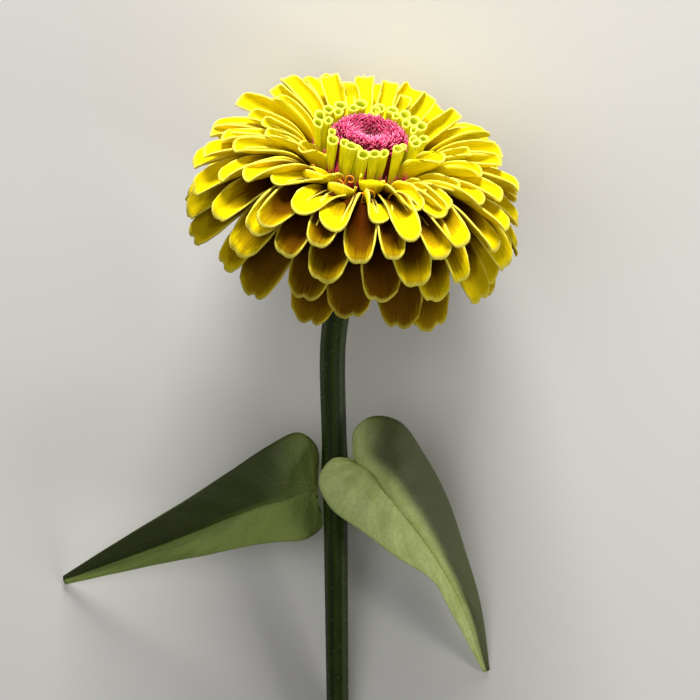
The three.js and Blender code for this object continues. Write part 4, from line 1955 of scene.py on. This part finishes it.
@dataclass
class Styles:
    """Orange curled styles at the feet of the inner petals.

    Attributes:
        places: the styles that the photo shows.
        girth: radius of a style.
        stalk: length of the straight part.
        sides: sides.
        rings: faces along.
        count_round: how many more stand round the rest of the head.
        round_start: azimuth of the first of those, in degrees.
        round_step: angle from one to the next.
        round_radius: their least distance from the axis.
        round_depth: least depth of their curls.
        round_turns: the least turn of their curls and its range, in degrees.
    """

    places: tuple[StylePlace, ...] = (
        StylePlace(-22.5, 15.0, 6.9, 300, 1.3, 80),
        StylePlace(-13, 14.5, 5.2, 290, 0.85, 90),
        StylePlace(-2, 18.2, 7.2, 240, 1.3, 95),
        StylePlace(3, 18.6, 5.9, 200, 1.2, 85),
        StylePlace(15, 15.5, 5.0, 280, 0.8, 90),
        StylePlace(22, 17.0, 7.0, 240, 1.1, 80),
        StylePlace(-1, 20.0, 9.4, 220, 1.6, 90),
        StylePlace(-49, 15.0, 6.2, 280, 0.9, 80),
    )
    girth: float = 0.17
    stalk: float = 2.4
    sides: int = 7
    rings: int = 26
    count_round: int = 16
    round_start: float = 70
    round_step: float = 14
    round_radius: float = 13.2
    round_depth: float = 7.4
    round_turns: tuple[float, float] = (200, 120)

    def others(self) -> list[StylePlace]:
        """Sets more styles round the rest of the head, with their curls left to chance.

        Returns:
            The styles.
        """
        least, span = self.round_turns
        return [
            StylePlace(
                azimuth=self.round_start + self.round_step * k,
                radius=self.round_radius + draw(k, StyleTrait.RADIUS),
                depth=self.round_depth + draw(k, StyleTrait.DEPTH),
                turn=least + span * draw(k, StyleTrait.TURN),
                size=1.0,
                face=360 * draw(k, StyleTrait.FACE),
            )
            for k in range(self.count_round)
        ]

    def path(self, place: StylePlace) -> np.ndarray:
        """Bends one style.

        Args:
            place: where it stands and how it curls.

        Returns:
            Points of its middle line.
        """
        turn = math.radians(place.turn)
        bend = np.linspace(0, turn, 24)
        flat = place.size * (1 - np.cos(bend))
        tall = place.size * np.sin(bend)
        stalk = np.linspace(-self.stalk, 0, 8)[:-1]
        flat = np.concatenate([0 * stalk, flat])
        tall = np.concatenate([stalk, tall])
        face = math.radians(place.face)
        drift = np.linspace(0, 0.9, len(flat))
        azimuth = math.radians(place.azimuth)
        x = flat * math.cos(face) - drift * math.sin(face)
        y = flat * math.sin(face) + drift * math.cos(face)
        height = HEAD.disc_height - place.depth + tall
        return HEAD.beside(azimuth, place.radius + x, y, height)

    def build(self, finish_with: bpy.types.Material) -> bpy.types.Object:
        """Models the styles as one piece: those of the photo and more round the rest of the head.

        Args:
            finish_with: their material.

        Returns:
            The piece.
        """
        blank = new_bud(self.sides, self.rings)
        along, angle, rim = bud_places(blank, self.rings)
        girth = self.girth * rim * (1 - 0.25 * along + 0.25 * smooth(along, 0.9, 1))
        pieces = []
        for place in (*self.places, *self.others()):
            piece = copy_shaped(blank, "style", tube_points(self.path(place), along, angle, girth))
            tag(piece, "along", along)
            pieces.append(piece)
        remove(blank)
        return finish(unite(pieces, "styles"), finish_with)


@dataclass(frozen=True)
class BractRow:
    """One row of bracts.

    Attributes:
        count: how many.
        foot: height of their feet over the neck.
        tip: height of their tips.
        width: greatest width.
        stand: how far the tips stand off the cup.
    """

    count: int
    foot: float
    tip: float
    width: float
    stand: float


@dataclass
class Involucre:
    """The green cup under the head, with overlapping bracts.

    Attributes:
        heights: heights of the cup's profile over the neck.
        radii: its radii.
        rows: rows of bracts.
        thickness: thickness of a bract.
        cup_sides: faces round the cup.
        cup_rings: faces along the cup.
        bract_columns: faces across a bract.
        bract_rows: faces along a bract.
    """

    heights: tuple[float, ...] = (0.4, 1.8, 4.6, 8.0, 11.5)
    radii: tuple[float, ...] = (3.4, 5.2, 7.8, 9.6, 10.5)
    rows: tuple[BractRow, ...] = (
        BractRow(7, 0.9, 5.6, 5.4, 0.5),
        BractRow(8, 2.6, 8.4, 6.6, 0.5),
        BractRow(10, 4.6, 11.6, 7.0, 0.35),
    )
    thickness: float = 0.4
    cup_sides: int = 48
    cup_rings: int = 16
    bract_columns: int = 10
    bract_rows: int = 12

    def bract(self, row: BractRow, azimuth: float, along: np.ndarray, across: np.ndarray) -> np.ndarray:
        """Shapes one bract.

        Args:
            row: its row.
            azimuth: its place, in radians.
            along: places along it.
            across: places across it.

        Returns:
            The points of its mid surface.
        """
        u = along * (1 - 0.3 * (1 - np.sqrt(1 - across**2)) * along**3)
        height = mix(row.foot, row.tip, u)
        radius = np.interp(height, self.heights, self.radii) + row.stand * u - 0.05 - 0.12 * across**2
        half = 0.5 * row.width * mix(0.7, 1, smooth(u, 0, 0.4)) * (1 - 0.35 * smooth(u, 0.5, 1))
        angle = azimuth + across * half / radius
        return HEAD.to_world(np.stack([radius * np.cos(angle), radius * np.sin(angle), height], 1))

    def build(self, finish_with: bpy.types.Material) -> bpy.types.Object:
        """Models the cup and its bracts as one piece.

        Args:
            finish_with: their material.

        Returns:
            The piece.
        """
        ball = new_bud(self.cup_sides, self.cup_rings)
        along, angle, rim = bud_places(ball, self.cup_rings)
        height = mix(self.heights[0], self.heights[-1], along)
        radius = rim * (np.interp(height, self.heights, self.radii) - 0.25)
        local = np.stack([radius * np.cos(angle), radius * np.sin(angle), height], 1)
        cup = copy_shaped(ball, "cup", HEAD.to_world(local))
        tag(cup, "chance", 0.5)
        remove(ball)
        blank = new_sheet(self.bract_columns, self.bract_rows)
        along, across = sheet_places(blank)
        bracts = []
        for index, row in enumerate(self.rows):
            for k in range(row.count):
                azimuth = TURN * (k + 0.37 * index) / row.count
                piece = copy_shaped(blank, "bract", self.bract(row, azimuth, along, across))
                tag(piece, "chance", draw(k + 20 * index, BractTrait.SHADE))
                bracts.append(piece)
        remove(blank)
        scales = unite(bracts, "bracts")
        thicken(scales, self.thickness)
        return finish(unite([scales, cup], "involucre_cup"), finish_with, "involucre")


@dataclass
class Stem:
    """The cut stem, with ribs and short hairs.

    Attributes:
        radius: radius under the neck.
        end_radius: radius at the cut.
        neck_radius: radius at the neck.
        bend: where it turns down from the head's axis, from the neck.
        node: where the leaves grow, from the neck.
        end: the middle of the cut, from the neck.
        ribs: number of ribs.
        hairs: number of hairs.
        hair_girth: radius of a hair at its foot.
        hair_length: least length of a hair.
        hair_more: how much more chance may add to it.
        rib_height: half of the ribs' height.
        swell: how much thicker the stem is where the leaves grow.
        sides: faces round it.
        rings: faces along it.
    """

    radius: float = 2.95
    end_radius: float = 2.55
    neck_radius: float = 3.3
    bend: tuple[float, float, float] = (-2.9, -19, -7.3)
    node: tuple[float, float, float] = (-2.5, -48.5, -13.1)
    end: tuple[float, float, float] = (-1.9, -110, -26.4)
    ribs: int = 9
    hairs: int = 520
    hair_girth: float = 0.045
    hair_length: float = 0.5
    hair_more: float = 0.55
    rib_height: float = 0.07
    swell: float = 0.35
    sides: int = 54
    rings: int = 130

    def line(self) -> Line:
        """Gives the middle line.

        Returns:
            The line, from the neck to the cut.
        """
        neck = np.array(HEAD.neck)
        turn = neck - 9 * HEAD.axes()[2]
        return Line(np.array([neck, turn, neck + self.bend, neck + self.node, neck + self.end]))

    def radius_at(self, distance: np.ndarray, length: float) -> np.ndarray:
        """Gives the stem's radius.

        Args:
            distance: distances from the neck along the stem.
            length: the stem's length.

        Returns:
            The radius at each distance.
        """
        node_at = length - math.dist(self.node, self.end)
        flare = (self.neck_radius - self.radius) * (1 - smooth(distance, 0, 5))
        swell = self.swell * np.exp(-(((distance - node_at) / 5) ** 2))
        return mix(self.radius, self.end_radius, distance / length) + flare + swell

    def build(self, finish_with: bpy.types.Material) -> bpy.types.Object:
        """Models the stem.

        Args:
            finish_with: its material.

        Returns:
            The piece.
        """
        blank = new_bud(self.sides, self.rings)
        along, angle, rim = bud_places(blank, self.rings)
        path = self.line().evenly(160)
        length = length_of(path)
        rib = np.cos(self.ribs * angle + 0.8 * np.sin(5 * along))
        radius = self.radius_at(along * length, length) - self.rib_height + self.rib_height * rib
        radius = radius - 0.2 * smooth(along, 0.998, 1)
        piece = copy_shaped(blank, "stem_skin", tube_points(path, along, angle, radius * rim))
        tag(piece, "rib", 0.5 + 0.5 * rib)
        tag(piece, "end", np.maximum(1 - rim, 0) * (along > 0.5))
        remove(blank)
        return finish(piece, finish_with, "stem")

    def build_hairs(self, finish_with: bpy.types.Material) -> bpy.types.Object:
        """Models the hairs as one piece.

        Args:
            finish_with: their material.

        Returns:
            The piece.
        """
        bpy.ops.object.select_all(action="DESELECT")
        bpy.ops.mesh.primitive_cone_add(vertices=3, radius1=1, radius2=0, depth=1, location=(0, 0, 0.5))
        bpy.ops.object.transform_apply(location=True, rotation=False, scale=False)
        blank = bpy.context.object
        cone = points_of(blank)
        path = self.line().evenly(300)
        length = length_of(path)
        pieces = []
        for k in range(self.hairs):
            along = np.array([0.03 + 0.95 * (k + draw(k, HairTrait.PLACE)) / self.hairs])
            angle = np.array([TURN * draw(k, HairTrait.SIDE)])
            base = self.radius_at(along * length, length) - 0.15
            foot = tube_points(path, along, angle, base)[0]
            out = tube_points(path, along, angle, base + 1)[0] - foot
            way = tube_points(path, along + 0.01, angle, base)[0] - foot
            way /= np.linalg.norm(way)
            tall = out + way * spread(k, HairTrait.LEAN, 1.2)
            tall /= np.linalg.norm(tall)
            first = np.cross(tall, way)
            first /= np.linalg.norm(first)
            second = np.cross(tall, first)
            size = self.hair_length + self.hair_more * draw(k, HairTrait.LENGTH)
            flank = (cone[:, :1] * first + cone[:, 1:2] * second) * self.hair_girth
            points = foot + flank + cone[:, 2:] * size * tall
            if points[:, 2].min() > 0.02:
                pieces.append(copy_shaped(blank, "hair", points))
        remove(blank)
        return finish(unite(pieces, "stem_hairs"), finish_with)


@dataclass
class Leaf:
    """A leaf lofted from its rib out to two edges, given from the leaf node in millimetres.

    Attributes:
        name: the piece's name.
        node: the CAD node that it stands for.
        rib: the line of its midrib.
        inner: its edge on the head's side.
        outer: its other edge.
        inner_bulge: how far the inner half is arched.
        outer_bulge: how far the outer half is arched.
        thickness: its thickness.
        columns: faces across it.
        rows: faces along it.
        edge_wave: height of the waves of its edges.
        dents: height of the small dents all over.
        rib_depth: depth of the midrib's channel.
    """

    name: str
    node: str
    rib: Points
    inner: Points
    outer: Points
    inner_bulge: float
    outer_bulge: float
    thickness: float = 0.45
    columns: int = 40
    rows: int = 110
    edge_wave: float = 0.35
    dents: float = 0.22
    rib_depth: float = 0.35

    def surface(self, along: np.ndarray, across: np.ndarray) -> np.ndarray:
        """Shapes the leaf.

        Args:
            along: places from foot to tip.
            across: places from the inner edge, -1, to the outer, 1.

        Returns:
            The points of its mid surface.
        """
        origin = np.array(HEAD.neck) + Stem().node
        lines = (Line(np.array(points) + origin) for points in (self.rib, self.inner, self.outer))
        rib, inner, outer = (line.at(along) for line in lines)
        out = np.abs(across)
        edge = np.where((across > 0)[:, None], outer, inner)
        points = mix(rib, edge, out[:, None])
        arch = 4 * out * (1 - out) * np.sin(math.pi * along)
        points[:, 2] += np.where(across > 0, self.outer_bulge, self.inner_bulge) * arch
        middle = np.sin(math.pi * np.clip(along, 0, 1)) ** 0.7
        waves = np.sin(TURN * (3.3 * along + 0.25 * np.sign(across)))
        points[:, 2] += middle * self.edge_wave * out**2 * waves
        dents = np.cos(TURN * (9 * along - 1.6 * out)) * out * (1 - out) * 3
        points[:, 2] += middle * self.dents * dents
        points[:, 2] -= middle * self.rib_depth * np.exp(-((out / 0.045) ** 2))
        return pressed(points)

    def build(self, finish_with: bpy.types.Material) -> bpy.types.Object:
        """Models the leaf.

        Args:
            finish_with: its material.

        Returns:
            The piece.
        """
        blank = new_sheet(self.columns, self.rows)
        along, across = sheet_places(blank)
        across = np.sign(across) * np.abs(across) ** 1.25
        piece = copy_shaped(blank, self.name, self.surface(along, across))
        remove(blank)
        thicken(piece, self.thickness)
        return finish(piece, finish_with, self.node)


LEFT_LEAF = Leaf(
    name="leaf_left_blade",
    node="leaf_left",
    rib=(
        (-4, -4, -0.5), (-6.5, -4, 1), (-10.5, -5.5, 2), (-16.5, -7, 2.5), (-24, -10, 1.5),
        (-32.5, -14, -1.5), (-42, -18.5, -6), (-52, -23, -11), (-62.5, -27.5, -15.6),
    ),
    inner=(
        (-4, -1.5, -1), (-4, 5.5, -0.5), (-8, 9.5, 2.5), (-14.5, 7, 5), (-23, 1.5, 5.5),
        (-33, -5.5, 3), (-42.5, -12, -2.5), (-53, -19.5, -9), (-62.5, -26.5, -15.6),
    ),
    outer=(
        (-4, -6.5, -1), (-3, -13, -5.5), (-6.5, -15.5, -3.5), (-13.5, -15.5, 0.5), (-21, -16.5, 2),
        (-29, -18.5, 0.5), (-39.5, -21.5, -4.5), (-51, -25, -10), (-62, -28.5, -15.6),
    ),
    inner_bulge=0.8,
    outer_bulge=0.8,
)
RIGHT_LEAF = Leaf(
    name="leaf_right_blade",
    node="leaf_right",
    rib=(
        (4.5, 2.5, 2.5), (6.5, 2, 4.5), (8.5, 0.5, 6), (11.5, -3.5, 7.5), (14.5, -7.5, 7),
        (18.5, -13, 4.5), (23, -20.5, -0.5), (28.5, -31.5, -7.5), (34.5, -49, -15.6),
    ),
    inner=(
        (4, 5.5, 3), (4.5, 10.5, 4.5), (8, 13.5, 6), (14, 12.5, 5.5), (20, 4, 1.5),
        (25, -6, -2.5), (29, -18, -6.5), (33, -32, -11), (35.5, -48.5, -15.6),
    ),
    outer=(
        (3.5, 4, 4), (-0.5, 4, 5), (-3.5, -0.5, 5.5), (-1, -6.5, 7), (6.5, -12, 8.5),
        (14, -18, 6.5), (21.5, -24, 1), (26, -32.5, -6), (34, -49, -15.6),
    ),
    inner_bulge=2.2,
    outer_bulge=0.8,
)


# The studio


class LampUse(Enum):
    """What a lamp is for."""

    KEY = "key"
    FILL = "fill"
    SIDE = "side"


@dataclass(frozen=True)
class Lamp:
    """A square soft lamp.

    Attributes:
        use: what it is for.
        position: where it hangs, in metres.
        target: where it points.
        size: its side.
        power: its power in watts.
        colour: its colour.
    """

    use: LampUse
    position: tuple[float, float, float]
    target: tuple[float, float, float]
    size: float
    power: float
    colour: tuple[float, float, float] = (1.0, 1.0, 1.0)

    def hang(self) -> None:
        """Adds the lamp."""
        light = bpy.data.lights.new(self.use.value, "AREA")
        light.size = self.size
        light.energy = self.power
        light.color = self.colour
        lamp = bpy.data.objects.new(self.use.value, light)
        bpy.context.collection.objects.link(lamp)
        lamp.location = self.position
        aim = Vector(self.target) - Vector(self.position)
        lamp.rotation_euler = aim.to_track_quat("-Z", "Y").to_euler()
        log.info("lamp %s: %.1f W", self.use.value, self.power)


@dataclass(frozen=True)
class Studio:
    """Table, lamps and camera.

    Attributes:
        lamps: the lamps.
        sky: brightness of the soft light all round.
        tilt: rise of the camera's view over the table, in degrees.
        lens: focal length in millimetres.
        sensor: width of the camera's sensor in millimetres.
        table_size: side of the table top, in metres.
        camera_from_neck: the camera's place from the head's neck, in millimetres.
    """

    lamps: tuple[Lamp, ...] = (
        Lamp(LampUse.KEY, (0.03, 0.70, 0.175), (0.012, 0.045, 0.035), 0.30, 10.5, (1.0, 0.98, 0.94)),
        Lamp(LampUse.FILL, (-0.35, 0.1, 0.9), (0.0, 0.0, 0.02), 0.7, 2.6),
        Lamp(LampUse.SIDE, (0.40, -0.10, 0.17), (0.028, -0.032, 0.012), 0.12, 0.6, (1.0, 0.99, 0.9)),
    )
    sky: float = 0.09
    tilt: float = 83.0
    lens: float = 150.0
    sensor: float = 36.0
    table_size: float = 6.0
    camera_from_neck: tuple[float, float, float] = (0.848, 58.144, 630.243)

    def build_table(self, finish_with: bpy.types.Material) -> None:
        """Adds the table top under the flower.

        Args:
            finish_with: its material.
        """
        bpy.ops.object.select_all(action="DESELECT")
        bpy.ops.mesh.primitive_plane_add(size=self.table_size)
        table = bpy.context.object
        table.name = "table"
        table.data.materials.append(finish_with)

    def place_camera(self) -> None:
        """Adds the camera, which looks down on the flower."""
        camera = bpy.data.objects.new("camera", bpy.data.cameras.new("camera"))
        bpy.context.collection.objects.link(camera)
        camera.data.lens = self.lens
        camera.data.sensor_width = self.sensor
        tilt = math.radians(self.tilt)
        right = (1, 0, 0)
        up = (0, math.sin(tilt), -math.cos(tilt))
        back = (0, math.cos(tilt), math.sin(tilt))
        turned = Matrix((right, up, back)).transposed().to_4x4()
        turned.translation = (Vector(HEAD.neck) + Vector(self.camera_from_neck)) * MM
        camera.matrix_world = turned
        bpy.context.scene.camera = camera

    def light(self) -> None:
        """Hangs the lamps and sets the soft light all round."""
        for lamp in self.lamps:
            lamp.hang()
        world = bpy.data.worlds.new("room")
        bpy.context.scene.world = world
        world.use_nodes = True
        sky = world.node_tree.nodes["Background"]
        sky.inputs["Color"].default_value = (1, 1, 1, 1)
        sky.inputs["Strength"].default_value = self.sky
        bpy.context.scene.view_settings.view_transform = "Standard"


def main() -> None:
    """Builds the flower and its studio."""
    logging.basicConfig(level=logging.INFO, format="%(name)s: %(message)s")
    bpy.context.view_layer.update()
    pink = StrandFinish().make()
    green = BractFinish().make()

    petals = RayPetals(tweaks=SPECIAL)
    petals.build(PetalFinish().make())
    petals.build_receptacle(green)
    Quills().build(QuillFinish().make())
    disc = Disc()
    disc.build_bed(pink)
    disc.build_strands(pink)
    Chaff().build(pink)
    Styles().build(StyleFinish().make())
    Involucre().build(green)
    stem = Stem()
    stem.build(StemFinish().make())
    stem.build_hairs(HairFinish().make())
    LEFT_LEAF.build(LeafFinish().make())
    RIGHT_LEAF.build(RIGHT_LEAF_FINISH.make())

    studio = Studio()
    studio.build_table(TableFinish().make())
    studio.light()
    studio.place_camera()


if __name__ == "__main__":
    main()
